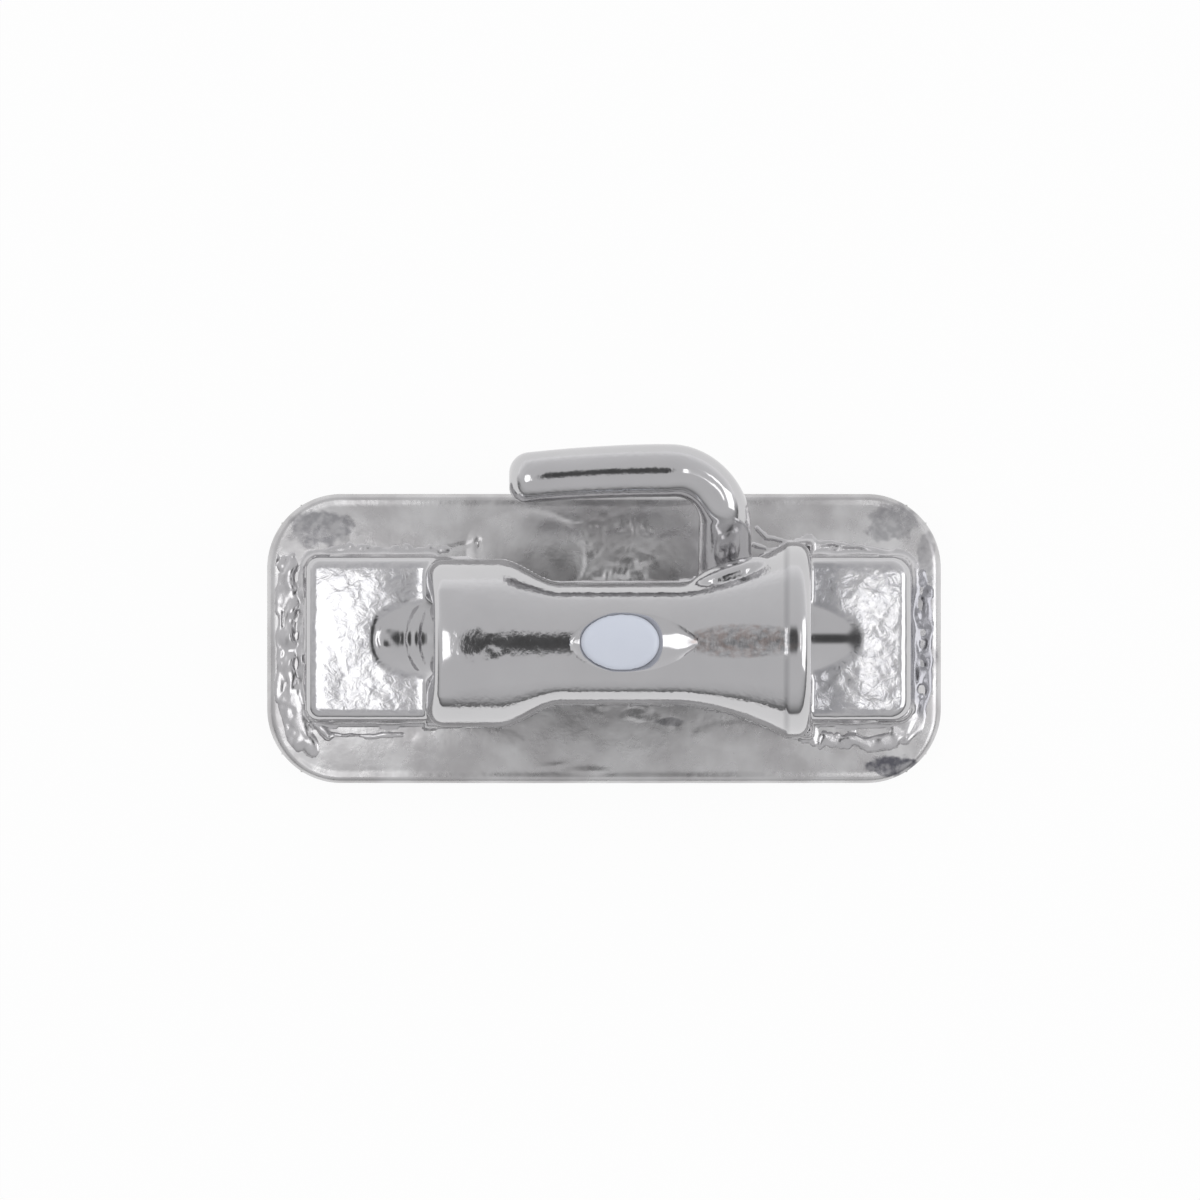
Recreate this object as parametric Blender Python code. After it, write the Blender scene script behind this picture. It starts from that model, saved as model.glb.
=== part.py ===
"""Bondable buccal tube for a molar: a cast barrel with its hook and two wings, brazed on a curved pad
that carries a wire screen for the adhesive.

The origin is the middle of the screen's tooth side. X runs along the archwire slot, from the distal end
to the flared mesial end. Y points to the side that the hook is on. Z points away from the tooth.
"""

import math

import bmesh
import bpy

# Every size is in metres.

# The tooth face that the pad is curved to fit
TOOTH_RADIUS_ALONG = 0.0120
TOOTH_RADIUS_ACROSS = 0.0120

# Layers, counted outwards from the tooth, and the seam that is left between pieces joined for good
SEAM = 0.00001
SCREEN_THICKNESS = 0.00018
FOIL_THICKNESS = 0.00015
WING_THICKNESS = 0.00035

# Pad and screen, punched to one outline
PAD_LENGTH = 0.00674
PAD_WIDTH = 0.00289
PAD_CORNER_RADIUS = 0.00074
WIRE_WIDTH = 0.00018
WIRE_PITCH = 0.00042
KNOT_RISE = 0.00003

# Wings at both ends of the barrel, set in from the ends of the pad
WING_MARGIN_DISTAL = 0.00037
WING_MARGIN_MESIAL = 0.00030
WING_WIDTH = 0.00164
WING_CORNER_RADIUS = 0.00016
WING_BEVEL_WIDTH = 0.00010
WING_BEVEL_HEIGHT = 0.00009
WING_OVERLAP = 0.00030

# Archwire slot, nominally 0.022 by 0.028 inch
SLOT_WIDTH = 0.00056
SLOT_DEPTH = 0.00071
SLOT_FLOOR_HEIGHT = 0.00050
ROOF_THICKNESS = 0.00030

# Barrel around the slot: a full arch at the distal end, pinched at the waist, flared at the mesial end
BARREL_LENGTH = 0.00383
BARREL_SHIFT = 0.000145
DISTAL_WIDTH = 0.00167
WAIST_WIDTH = 0.00121
MESIAL_WIDTH = 0.00195
ARCH_EASE = 0.00003
SHOULDER_LENGTH = 0.00062
WAIST_LENGTH = 0.00115
RIM_LENGTH = 0.00022
DISTAL_EDGE_RADIUS = 0.00018
MESIAL_EDGE_RADIUS = 0.00016

# Bell mouths at the two ends of the slot, whose lower lip runs out along the wings
MOUTH_LENGTH = 0.00036
MOUTH_WIDTH = 0.00110
MESIAL_MOUTH_HEIGHT = 0.00090
DISTAL_MOUTH_HEIGHT = 0.00075
THROAT_CLEARANCE = 0.00002

# Hook, from its root in the barrel's side to its blunt tip, with heights counted from the slot's middle
HOOK_RADIUS = 0.00027
HOOK_TIP_RADIUS = 0.00025
HOOK_TIP_ROUNDING = 0.00017
HOOK_ROOT_RADIUS = 0.00037
HOOK_ROOT_FLARE = 0.00032
HOOK_SETBACK = 0.00088
HOOK_REACH = 0.00212
HOOK_STANDOFF = 0.00169
HOOK_TIP_DROP = 0.00006
HOOK_BEND_RADIUS = 0.00051
HOOK_ROOT_RISE = 0.00006
HOOK_ARM_RISE = 0.00046

# Identification mark: an enamel drop in a dimple on the barrel's crown
DIMPLE_LENGTH = 0.00122
DIMPLE_WIDTH = 0.00057
DIMPLE_DEPTH = 0.00015
DIMPLE_OFFSET = 0.00012
MARK_LENGTH = 0.00078
MARK_WIDTH = 0.00053
ENAMEL_RISE = 0.00002

# Braze alloy drawn out around the foot, past the ends of the wings and past the widest place at the sides
BRAZE_REACH = 0.00020
BRAZE_SIDE_REACH = 0.00006
BRAZE_HEIGHT = 0.00015
BRAZE_EDGE = 0.00003

# How sharply the arch is pinched to its width, and how late the flare opens
PINCH_SHARPNESS = 9
FLARE_SHARPNESS = 1.65

# Facets
SLICE = 0.00042
CORNER_STEPS = 6
ARCH_STEPS = 20
BARREL_STEPS = 22
MOUTH_STEPS = 24
MOUTH_RINGS = 5
EDGE_RINGS = 4
HOOK_LEG_STEPS = 8
HOOK_BEND_STEPS = 8
HOOK_ARM_STEPS = 5
HOOK_TIP_STEPS = 4

# Heights that follow from the layers
FOIL_BOTTOM = SCREEN_THICKNESS + SEAM
FOIL_TOP = FOIL_BOTTOM + FOIL_THICKNESS
FOOT_BOTTOM = FOIL_TOP + SEAM
WING_TOP = FOOT_BOTTOM + WING_THICKNESS
SLOT_MIDDLE = SLOT_FLOOR_HEIGHT + SLOT_DEPTH / 2
BARREL_TOP = SLOT_FLOOR_HEIGHT + SLOT_DEPTH + ROOF_THICKNESS
DISTAL_ARCH = DISTAL_WIDTH / 2 + ARCH_EASE
MESIAL_ARCH = MESIAL_WIDTH / 2 + ARCH_EASE
ARCH_CENTRE = BARREL_TOP - DISTAL_ARCH

# Places along the slot that follow from the lengths
DISTAL_FACE = BARREL_SHIFT - BARREL_LENGTH / 2
MESIAL_FACE = BARREL_SHIFT + BARREL_LENGTH / 2
WING_END_DISTAL = WING_MARGIN_DISTAL - PAD_LENGTH / 2
WING_END_MESIAL = PAD_LENGTH / 2 - WING_MARGIN_MESIAL
FOOT_WIDTH = max(WING_WIDTH, DISTAL_WIDTH, MESIAL_WIDTH)

# Reach of the cutters, past everything that they cut
DEEP = FOOT_BOTTOM + TOOTH_RADIUS_ALONG / 8
FAR = PAD_LENGTH


def start_scene():
    """Clears the scene and makes the collection for the pieces and the one for the cutters."""
    for old in list(bpy.data.objects):
        bpy.data.objects.remove(old)
    made = []
    for name in ("buccal_tube", "cutters"):
        collection = bpy.data.collections.new(name)
        bpy.context.scene.collection.children.link(collection)
        made.append(collection)
    return made


PIECES, CUTTERS = start_scene()


def material(name, colour, roughness, metallic):
    made = bpy.data.materials.new(name)
    made.use_nodes = True
    shader = made.node_tree.nodes["Principled BSDF"]
    shader.inputs["Base Color"].default_value = (*colour, 1)
    shader.inputs["Roughness"].default_value = roughness
    shader.inputs["Metallic"].default_value = metallic
    return made


def add_object(name, shape, finish=None):
    """Turns a bmesh into a piece if it has a finish, and into a hidden helper if it has none."""
    bmesh.ops.recalc_face_normals(shape, faces=shape.faces)
    mesh = bpy.data.meshes.new(name)
    shape.to_mesh(mesh)
    shape.free()
    mesh.shade_smooth()
    mesh.set_sharp_from_angle(angle=math.radians(35))
    made = bpy.data.objects.new(name, mesh)
    if finish:
        PIECES.objects.link(made)
        mesh.materials.append(finish)
    else:
        CUTTERS.objects.link(made)
        made.hide_render = True
        made.display_type = "WIRE"
    return made


def boolean(target, other, operation):
    modifier = target.modifiers.new(f"{operation.lower()} {other.name}", "BOOLEAN")
    modifier.operation = operation
    modifier.object = other
    return modifier


def loft(rings):
    """A closed surface through rings of points, with the same number of points in each ring."""
    shape = bmesh.new()
    rows = [[shape.verts.new(point) for point in ring] for ring in rings]
    for row, following in zip(rows, rows[1:]):
        for i in range(len(row)):
            j = (i + 1) % len(row)
            shape.faces.new((row[i], row[j], following[j], following[i]))
    shape.faces.new(reversed(rows[0]))
    shape.faces.new(rows[-1])
    return shape


def rounded_ring(x_low, x_high, width, radius, z):
    """A rectangle with round corners, level at height z."""
    ring = []
    half = width / 2 - radius
    right, left = x_high - radius, x_low + radius
    corners = ((right, half), (left, half), (left, -half), (right, -half))
    for quarter, (x, y) in enumerate(corners):
        for step in range(CORNER_STEPS + 1):
            angle = math.radians(90) * (quarter + step / CORNER_STEPS)
            ring.append((x + radius * math.cos(angle), y + radius * math.sin(angle), z))
    return ring


def drop(x, y):
    """How far the tooth face lies below its middle at this place."""
    along = TOOTH_RADIUS_ALONG - math.sqrt(TOOTH_RADIUS_ALONG**2 - x**2)
    across = TOOTH_RADIUS_ACROSS - math.sqrt(TOOTH_RADIUS_ACROSS**2 - y**2)
    return along + across


def slice_up(shape):
    """Cuts a flat blank into strips both ways, so that it can follow a curve."""
    bmesh.ops.triangulate(shape, faces=shape.faces)
    for axis in range(2):
        normal = [0, 0, 0]
        normal[axis] = 1
        reach = max(abs(vertex.co[axis]) for vertex in shape.verts)
        count = int(reach / SLICE)
        for step in range(-count, count + 1):
            place = [0, 0, 0]
            place[axis] = step * SLICE
            everything = [*shape.verts, *shape.edges, *shape.faces]
            bmesh.ops.bisect_plane(shape, geom=everything, dist=1e-8, plane_co=place, plane_no=normal)
    return shape


def press(shape):
    """Presses a flat blank over the tooth face."""
    bmesh.ops.triangulate(shape, faces=shape.faces)
    for vertex in shape.verts:
        vertex.co.z -= drop(vertex.co.x, vertex.co.y)
    return shape


def evaluated_bmesh(source):
    """The source object with its modifiers applied, as a bmesh, and the source removed."""
    graph = bpy.context.evaluated_depsgraph_get()
    mesh = bpy.data.meshes.new_from_object(source.evaluated_get(graph))
    shape = bmesh.new()
    shape.from_mesh(mesh)
    shape.transform(source.matrix_world)
    bpy.data.objects.remove(source)
    bpy.data.meshes.remove(mesh)
    return shape


def pad_outline(z):
    return rounded_ring(-PAD_LENGTH / 2, PAD_LENGTH / 2, PAD_WIDTH, PAD_CORNER_RADIUS, z)


def base_pad(finish):
    """The curved foil that spreads the tube's load over the tooth."""
    blank = slice_up(loft([pad_outline(FOIL_BOTTOM), pad_outline(FOIL_TOP)]))
    return add_object("base_pad", press(blank), finish)


def screen_lines(length):
    """Places of the lines that divide one side: the wires' edges, with one more mid-way across each gap.

    Each comes with whether it is such a middle. The rim at both ends takes what the gaps leave over.
    """
    gap = WIRE_PITCH - WIRE_WIDTH
    count = int((length - 2 * WIRE_WIDTH) / WIRE_PITCH)
    start = (WIRE_WIDTH - count * WIRE_PITCH) / 2
    lines = [(-length / 2, False)]
    for index in range(count):
        edge = start + index * WIRE_PITCH
        lines += [(edge, False), (edge + gap / 2, True), (edge + gap, False)]
    lines.append((length / 2, False))
    return lines


def bonding_screen(finish):
    """The wire screen that the adhesive grips: square gaps, and wires that are thickest where they cross."""
    xs = screen_lines(PAD_LENGTH)
    ys = screen_lines(PAD_WIDTH)
    shape = bmesh.new()
    layers = []
    for height, sink in ((0, KNOT_RISE), (SCREEN_THICKNESS, -KNOT_RISE)):
        layer = {}
        for i, (x, mid_x) in enumerate(xs):
            for j, (y, mid_y) in enumerate(ys):
                if not (mid_x and mid_y):
                    layer[i, j] = shape.verts.new((x, y, height + sink * (mid_x or mid_y)))
        layers.append(layer)
    cells = set()
    for i in range(len(xs) - 1):
        for j in range(len(ys) - 1):
            in_gap_x = xs[i][1] or xs[i + 1][1]
            in_gap_y = ys[j][1] or ys[j + 1][1]
            if not (in_gap_x and in_gap_y):
                cells.add((i, j))
    for i, j in cells:
        corners = ((i, j), (i + 1, j), (i + 1, j + 1), (i, j + 1))
        for layer in layers:
            shape.faces.new([layer[corner] for corner in corners])
        sides = ((i, j - 1), (i + 1, j), (i, j + 1), (i - 1, j))
        for k, neighbour in enumerate(sides):
            if neighbour not in cells:
                a, b = corners[k], corners[(k + 1) % 4]
                shape.faces.new((layers[0][a], layers[0][b], layers[1][b], layers[1][a]))
    blank = add_object("screen_blank", shape)
    outline = [pad_outline(-SCREEN_THICKNESS), pad_outline(2 * SCREEN_THICKNESS)]
    punch = add_object("screen_punch", loft(outline))
    boolean(blank, punch, "INTERSECT")
    screen = press(evaluated_bmesh(blank))
    bpy.data.objects.remove(punch)
    return add_object("bonding_screen", screen, finish)


def smooth_step(t):
    t = min(max(t, 0), 1)
    return t * t * (3 - 2 * t)


def flare_share(x):
    """0 at the end of the waist, 1 where the mesial rim starts."""
    waist_end = BARREL_SHIFT + WAIST_LENGTH / 2
    rim_start = MESIAL_FACE - RIM_LENGTH
    return min(max((x - waist_end) / (rim_start - waist_end), 0), 1)


def barrel_half_width(x):
    waist_start = BARREL_SHIFT - WAIST_LENGTH / 2
    shoulder = smooth_step((waist_start - x) / SHOULDER_LENGTH)
    flare = flare_share(x) ** FLARE_SHARPNESS
    width = WAIST_WIDTH + shoulder * (DISTAL_WIDTH - WAIST_WIDTH) + flare * (MESIAL_WIDTH - WAIST_WIDTH)
    return width / 2


def barrel_stations():
    """Places along the barrel with the amount that the rounded end edges take off there."""
    stations = []
    for ring in range(EDGE_RINGS + 1):
        angle = math.radians(90) * ring / EDGE_RINGS
        x = DISTAL_FACE + DISTAL_EDGE_RADIUS * (1 - math.cos(angle))
        stations.append((x, DISTAL_EDGE_RADIUS * (1 - math.sin(angle))))
    start = stations[-1][0]
    rim_start = MESIAL_FACE - RIM_LENGTH
    for step in range(1, BARREL_STEPS + 1):
        stations.append((start + (rim_start - start) * step / BARREL_STEPS, 0))
    for ring in range(EDGE_RINGS + 1):
        angle = math.radians(90) * ring / EDGE_RINGS
        x = MESIAL_FACE - MESIAL_EDGE_RADIUS * (1 - math.sin(angle))
        stations.append((x, MESIAL_EDGE_RADIUS * (1 - math.cos(angle))))
    return stations


def barrel_ring(x, inset):
    """The barrel's section at x: a round arch that is pinched to the width there, on upright walls."""
    radius = DISTAL_ARCH + (MESIAL_ARCH - DISTAL_ARCH) * flare_share(x) - inset
    half = barrel_half_width(x) - inset
    power = PINCH_SHARPNESS
    widen = half * (half**-power + radius**-power) ** (1 / power)
    ring = [(x, -half, -DEEP)]
    for step in range(ARCH_STEPS + 1):
        angle = math.radians(180 * step / ARCH_STEPS - 90)
        pinch = (abs(math.sin(angle)) / half) ** power
        reach = (radius**-power + pinch) ** (-1 / power)
        ring.append((x, reach * math.sin(angle) * widen, ARCH_CENTRE + reach * math.cos(angle)))
    ring.append((x, half, -DEEP))
    return ring


def barrel(grow=0):
    """The barrel's outer surface, carried down below the foot. It grows by a clearance to make a cutter."""
    return loft([barrel_ring(x, inset - grow) for x, inset in barrel_stations()])


def wing(end, inner, grow=0):
    """One wing's flat blank, from inside the barrel to its outer end, with its upper edges bevelled."""
    low, high = min(end, inner) - grow, max(end, inner) + grow
    width = WING_WIDTH + 2 * grow
    bevel = WING_BEVEL_WIDTH
    radius = WING_CORNER_RADIUS
    return loft([
        rounded_ring(low, high, width, radius, 0),
        rounded_ring(low, high, width, radius, WING_TOP - WING_BEVEL_HEIGHT),
        rounded_ring(low + bevel, high - bevel, width - 2 * bevel, radius - bevel / 2, WING_TOP),
    ])


def wing_spans():
    """The outer and inner end of each wing."""
    return (
        ("distal", WING_END_DISTAL, DISTAL_FACE + WING_OVERLAP),
        ("mesial", WING_END_MESIAL, MESIAL_FACE - WING_OVERLAP),
    )


def mouth(end, height, outwards):
    """Cutter for a bell mouth: it widens from the slot to the barrel's end and then runs on level."""
    throat = (SLOT_WIDTH / 2 - THROAT_CLEARANCE, SLOT_DEPTH / 2 - THROAT_CLEARANCE)
    lip = (MOUTH_WIDTH / 2, height / 2)
    rings = []
    for step in range(MOUTH_RINGS + 1):
        angle = math.radians(90) * step / MOUTH_RINGS
        x = end - outwards * MOUTH_LENGTH * (1 - math.sin(angle))
        share = 1 - math.cos(angle)
        rings.append((x, *[a + (b - a) * share for a, b in zip(throat, lip)]))
    rings.append((end + outwards * FAR / 2, *lip))
    shape = []
    for x, half_y, half_z in rings:
        ring = []
        for step in range(MOUTH_STEPS):
            angle = math.radians(360) * step / MOUTH_STEPS
            ring.append((x, half_y * math.cos(angle), SLOT_MIDDLE + half_z * math.sin(angle)))
        shape.append(ring)
    return loft(shape)


def hook_route():
    """Points from the root to the tip, each with the hook's radius there."""
    root_x = MESIAL_FACE - HOOK_SETBACK
    tip_x = root_x - HOOK_REACH
    wall = barrel_half_width(root_x)
    bend_x = root_x - HOOK_BEND_RADIUS
    bend_y = HOOK_STANDOFF - HOOK_BEND_RADIUS
    arm_end = tip_x + HOOK_TIP_ROUNDING
    flat = []
    for step in range(HOOK_LEG_STEPS):
        y = wall / 2 + (bend_y - wall / 2) * step / HOOK_LEG_STEPS
        flare = 1 - smooth_step((y - wall) / HOOK_ROOT_FLARE)
        flat.append((root_x, y, HOOK_RADIUS + (HOOK_ROOT_RADIUS - HOOK_RADIUS) * flare))
    for step in range(HOOK_BEND_STEPS + 1):
        angle = math.radians(90) * step / HOOK_BEND_STEPS
        x = bend_x + HOOK_BEND_RADIUS * math.cos(angle)
        flat.append((x, bend_y + HOOK_BEND_RADIUS * math.sin(angle), HOOK_RADIUS))
    rise_steps = len(flat)
    for step in range(1, HOOK_ARM_STEPS + 1):
        share = step / HOOK_ARM_STEPS
        x = bend_x + (arm_end - bend_x) * share
        y = HOOK_STANDOFF - HOOK_TIP_DROP * share
        flat.append((x, y, HOOK_RADIUS + (HOOK_TIP_RADIUS - HOOK_RADIUS) * share))
    for step in range(1, HOOK_TIP_STEPS + 1):
        angle = math.radians(90) * step / HOOK_TIP_STEPS
        x = arm_end - HOOK_TIP_ROUNDING * math.sin(angle)
        radius = HOOK_TIP_RADIUS - HOOK_TIP_ROUNDING * (1 - math.cos(angle))
        flat.append((x, HOOK_STANDOFF - HOOK_TIP_DROP, radius))
    route = []
    for index, (x, y, radius) in enumerate(flat):
        rise = HOOK_ROOT_RISE + (HOOK_ARM_RISE - HOOK_ROOT_RISE) * smooth_step(index / rise_steps)
        route.append((x, y, SLOT_MIDDLE + rise, radius))
    return route


def hook():
    """The hook as a bevelled curve, made a closed mesh."""
    route = hook_route()
    curve = bpy.data.curves.new("hook", "CURVE")
    curve.dimensions = "3D"
    curve.bevel_depth = 1
    curve.bevel_resolution = 5
    curve.use_fill_caps = True
    spline = curve.splines.new("POLY")
    spline.points.add(len(route) - 1)
    for point, (x, y, z, radius) in zip(spline.points, route):
        point.co = (x, y, z, 1)
        point.radius = radius
    guide = bpy.data.objects.new("hook_guide", curve)
    CUTTERS.objects.link(guide)
    shape = evaluated_bmesh(guide)
    bmesh.ops.remove_doubles(shape, verts=shape.verts, dist=1e-7)
    return shape


def ellipsoid(centre, semi_axes, rings=16):
    shape = bmesh.new()
    bmesh.ops.create_uvsphere(shape, u_segments=2 * rings, v_segments=rings, radius=1)
    bmesh.ops.scale(shape, verts=shape.verts, vec=semi_axes)
    bmesh.ops.translate(shape, verts=shape.verts, vec=centre)
    return shape


def dimple(shrink=0):
    """The shape that the dimple is cut with. It shrinks by a clearance to bound the enamel."""
    height = 3 * DIMPLE_DEPTH
    above_crown = height - DIMPLE_DEPTH
    edge_fall = (DIMPLE_WIDTH / 2) ** 2 / (2 * DISTAL_ARCH)
    along = DIMPLE_LENGTH / 2 / math.sqrt(1 - (above_crown / height) ** 2)
    across = DIMPLE_WIDTH / 2 / math.sqrt(1 - ((above_crown + edge_fall) / height) ** 2)
    centre = (BARREL_SHIFT + DIMPLE_OFFSET, 0, BARREL_TOP + above_crown)
    return ellipsoid(centre, (along - shrink, across - shrink, height - shrink))


def elliptic_prism(x, length, width, z_low, z_high, steps=28):
    rings = []
    for z in (z_low, z_high):
        turns = [math.radians(360) * step / steps for step in range(steps)]
        rings.append([(x + length / 2 * math.cos(turn), width / 2 * math.sin(turn), z) for turn in turns])
    return loft(rings)


def colour_mark(finish):
    """The enamel drop: an oval whose underside fills the dimple and whose face follows the crown."""
    bottom = BARREL_TOP - 2 * DIMPLE_DEPTH
    blank = elliptic_prism(BARREL_SHIFT, MARK_LENGTH, MARK_WIDTH, bottom, BARREL_TOP + DIMPLE_DEPTH)
    mark = add_object("colour_mark", blank, finish)
    boolean(mark, add_object("mark_bed", dimple(shrink=SEAM)), "INTERSECT")
    boolean(mark, add_object("mark_face", barrel(grow=ENAMEL_RISE)), "INTERSECT")
    return mark


def slot_bar():
    bar = bmesh.new()
    bmesh.ops.create_cube(bar, size=1)
    bmesh.ops.scale(bar, verts=bar.verts, vec=(2 * FAR, SLOT_WIDTH, SLOT_DEPTH))
    bmesh.ops.translate(bar, verts=bar.verts, vec=(0, 0, SLOT_MIDDLE))
    return bar


def tooth_block():
    """Everything below the foot of the casting."""
    length = PAD_LENGTH + 2 * SLICE
    width = PAD_WIDTH + 2 * SLICE
    rings = []
    for z in (-2 * DEEP, FOOT_BOTTOM):
        rings.append(rounded_ring(-length / 2, length / 2, width, PAD_CORNER_RADIUS, z))
    return loft(rings)


def tube_body(finish):
    """The casting: barrel, wings and hook in one piece, with the slot, mouths and dimple cut into it."""
    body = add_object("tube_body", barrel(), finish)
    for side, end, inner in wing_spans():
        boolean(body, add_object(f"{side}_wing", press(slice_up(wing(end, inner)))), "UNION")
    boolean(body, add_object("hook_solid", hook()), "UNION")
    boolean(body, add_object("tooth_block", press(slice_up(tooth_block()))), "DIFFERENCE")
    boolean(body, add_object("slot_bar", slot_bar()), "DIFFERENCE")
    boolean(body, add_object("mesial_mouth", mouth(MESIAL_FACE, MESIAL_MOUTH_HEIGHT, 1)), "DIFFERENCE")
    boolean(body, add_object("distal_mouth", mouth(DISTAL_FACE, DISTAL_MOUTH_HEIGHT, -1)), "DIFFERENCE")
    boolean(body, add_object("dimple", dimple()), "DIFFERENCE")
    return body


def braze_fillet(finish):
    """The alloy that fills the corner between the foot and the pad and pools beside the waist."""
    toe_width = FOOT_WIDTH + 2 * BRAZE_SIDE_REACH
    profile = (
        (FOOT_BOTTOM, BRAZE_REACH, toe_width),
        (FOOT_BOTTOM + BRAZE_EDGE, BRAZE_REACH, toe_width),
        (FOOT_BOTTOM + BRAZE_HEIGHT, SEAM, WING_WIDTH + 2 * SEAM),
    )
    rings = []
    for z, reach, width in profile:
        low, high = WING_END_DISTAL - reach, WING_END_MESIAL + reach
        rings.append(rounded_ring(low, high, width, WING_CORNER_RADIUS + reach, z))
    blank = add_object("braze_blank", loft(rings))
    cutters = [add_object("barrel_room", barrel(grow=SEAM))]
    for side, end, inner in wing_spans():
        cutters.append(add_object(f"{side}_wing_room", wing(end, inner, grow=SEAM)))
    for cutter in cutters:
        boolean(blank, cutter, "DIFFERENCE")
    ring = press(slice_up(evaluated_bmesh(blank)))
    for cutter in cutters:
        bpy.data.objects.remove(cutter)
    return add_object("braze_fillet", ring, finish)


steel = material("polished_steel", (0.56, 0.56, 0.57), 0.18, 1)
foil = material("pad_steel", (0.52, 0.52, 0.53), 0.28, 1)
alloy = material("braze_alloy", (0.60, 0.59, 0.58), 0.24, 1)
wire = material("screen_steel", (0.42, 0.42, 0.43), 0.40, 1)
enamel = material("white_enamel", (0.66, 0.68, 0.76), 0.30, 0)

bonding_screen(wire)
base_pad(foil)
braze_fillet(alloy)
tube_body(steel)
colour_mark(enamel)
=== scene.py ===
"""Looks of the buccal tube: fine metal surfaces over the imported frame, seen from straight above.

Shapes are worked out in millimetres, in the frame's own axes, and written to meshes in metres.
"""

import math

import bpy
import numpy as np
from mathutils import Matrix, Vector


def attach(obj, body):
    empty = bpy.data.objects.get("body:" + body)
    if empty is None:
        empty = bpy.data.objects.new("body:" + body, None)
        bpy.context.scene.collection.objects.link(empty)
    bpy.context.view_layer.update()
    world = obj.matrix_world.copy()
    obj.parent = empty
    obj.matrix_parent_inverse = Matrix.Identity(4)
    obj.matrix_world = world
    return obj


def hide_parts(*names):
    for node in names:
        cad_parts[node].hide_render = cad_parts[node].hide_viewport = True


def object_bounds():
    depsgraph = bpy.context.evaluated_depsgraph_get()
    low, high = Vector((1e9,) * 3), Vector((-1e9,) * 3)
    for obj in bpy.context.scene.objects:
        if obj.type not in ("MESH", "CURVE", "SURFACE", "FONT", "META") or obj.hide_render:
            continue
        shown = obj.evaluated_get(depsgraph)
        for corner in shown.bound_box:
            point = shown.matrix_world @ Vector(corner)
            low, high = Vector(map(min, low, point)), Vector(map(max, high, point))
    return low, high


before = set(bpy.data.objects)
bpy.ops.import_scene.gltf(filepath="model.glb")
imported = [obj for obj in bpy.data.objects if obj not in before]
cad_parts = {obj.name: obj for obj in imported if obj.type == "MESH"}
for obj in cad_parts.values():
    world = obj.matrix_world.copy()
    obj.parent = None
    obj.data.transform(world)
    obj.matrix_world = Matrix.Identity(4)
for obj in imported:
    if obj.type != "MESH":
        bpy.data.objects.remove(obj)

CAD_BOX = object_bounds()
MM = 0.001

# Front view: the pixel where x and y are 0, its scale, and its width in millimetres
VIEW_MIDDLE = (604, 638.5)
PIXELS_PER_MM = 100
VIEW_WIDTH = 12.0

# Tooth face that everything is pressed over
TOOTH_RADIUS = 12.0

# Heights over the screen's tooth side, in the middle
SCREEN_THICKNESS = 0.18
FOIL_BOTTOM = 0.19
FOIL_TOP = 0.34
FOOT_BOTTOM = 0.35
WING_TOP = 0.70
SLOT_MIDDLE = 0.855
BARREL_TOP = 1.51

# Pad
PAD_HALF_LENGTH = 3.37
PAD_HALF_WIDTH = 1.445
PAD_CORNER = 0.74
PAD_EDGE = 0.08
PAD_RIM_WIDTH = 0.12

# Barrel. A name that ends in BUMPS lists layers of noise: height, size and seed
DISTAL_FACE = -1.77
MESIAL_FACE = 2.06
DISTAL_HALF = 0.835
WAIST_HALF = 0.605
MESIAL_HALF = 0.965
DISTAL_ARCH = 0.865
MESIAL_ARCH = 0.995
ARCH_CENTRE = BARREL_TOP - DISTAL_ARCH
WAIST_START = -0.43
WAIST_END = 0.72
SHOULDER_LENGTH = 0.62
RIM_LENGTH = 0.24
RIM_BEAD = 0.010
RIM_STEP = 0.045
PINCH_SHARPNESS = 9
FLARE_SHARPNESS = 1.65
DISTAL_OFF_CENTRE = -0.045
MESIAL_OFF_CENTRE = -0.013
OFF_CENTRE_EASE = 1.1
DISTAL_CORNER = 0.17
DISTAL_EDGE = 0.09
DISTAL_LEAN = 0.08
DISTAL_TOP = 0.9
DISTAL_TOP_EASE = 0.5
CROWN_ROLL_START = -1.27
CROWN_ROLL_RADIUS = 1.2
CROWN_HALF_WIDTH = 0.5
CROWN_RIPPLES = (-1.48, -0.80)
CROWN_RIPPLE_EASES = (0.1, 0.25)
CROWN_BUMPS = ((0.004, 0.075, 31),)
MESIAL_EDGE = 0.14

# Wings
WING_ENDS = (-2.98, 3.07)
WING_HALF_WIDTH = 0.82
WING_CORNERS = (0.13, 0.20)
WING_EDGE = 0.11
WING_FILLET = 0.04
WING_CURL = 0.13
WING_CURL_RADIUS = 0.8
WING_OVERLAP = 0.3

# Slot and mouths
SLOT_HALF_WIDTH = 0.28
SLOT_HALF_DEPTH = 0.355
MOUTH_LENGTH = 0.36
LIP_ROUNDING = 0.03

# Each mouth: face, direction, reach over the wing, half width, lower half height, and how square the
# lower half of its section is at the face
MESIAL_MOUTH = (2.06, 1, 0.68, 0.60, 0.44, 1.75)
DISTAL_MOUTH = (-1.77, -1, 0.62, 0.52, 0.42, 2.0)
MOUTH_UPPER_HALF = 0.455
MOUTH_UPPER_SQUARENESS = 2.3
THROAT_SQUARENESS = 8
THROAT_MARGIN = 1.09

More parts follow.
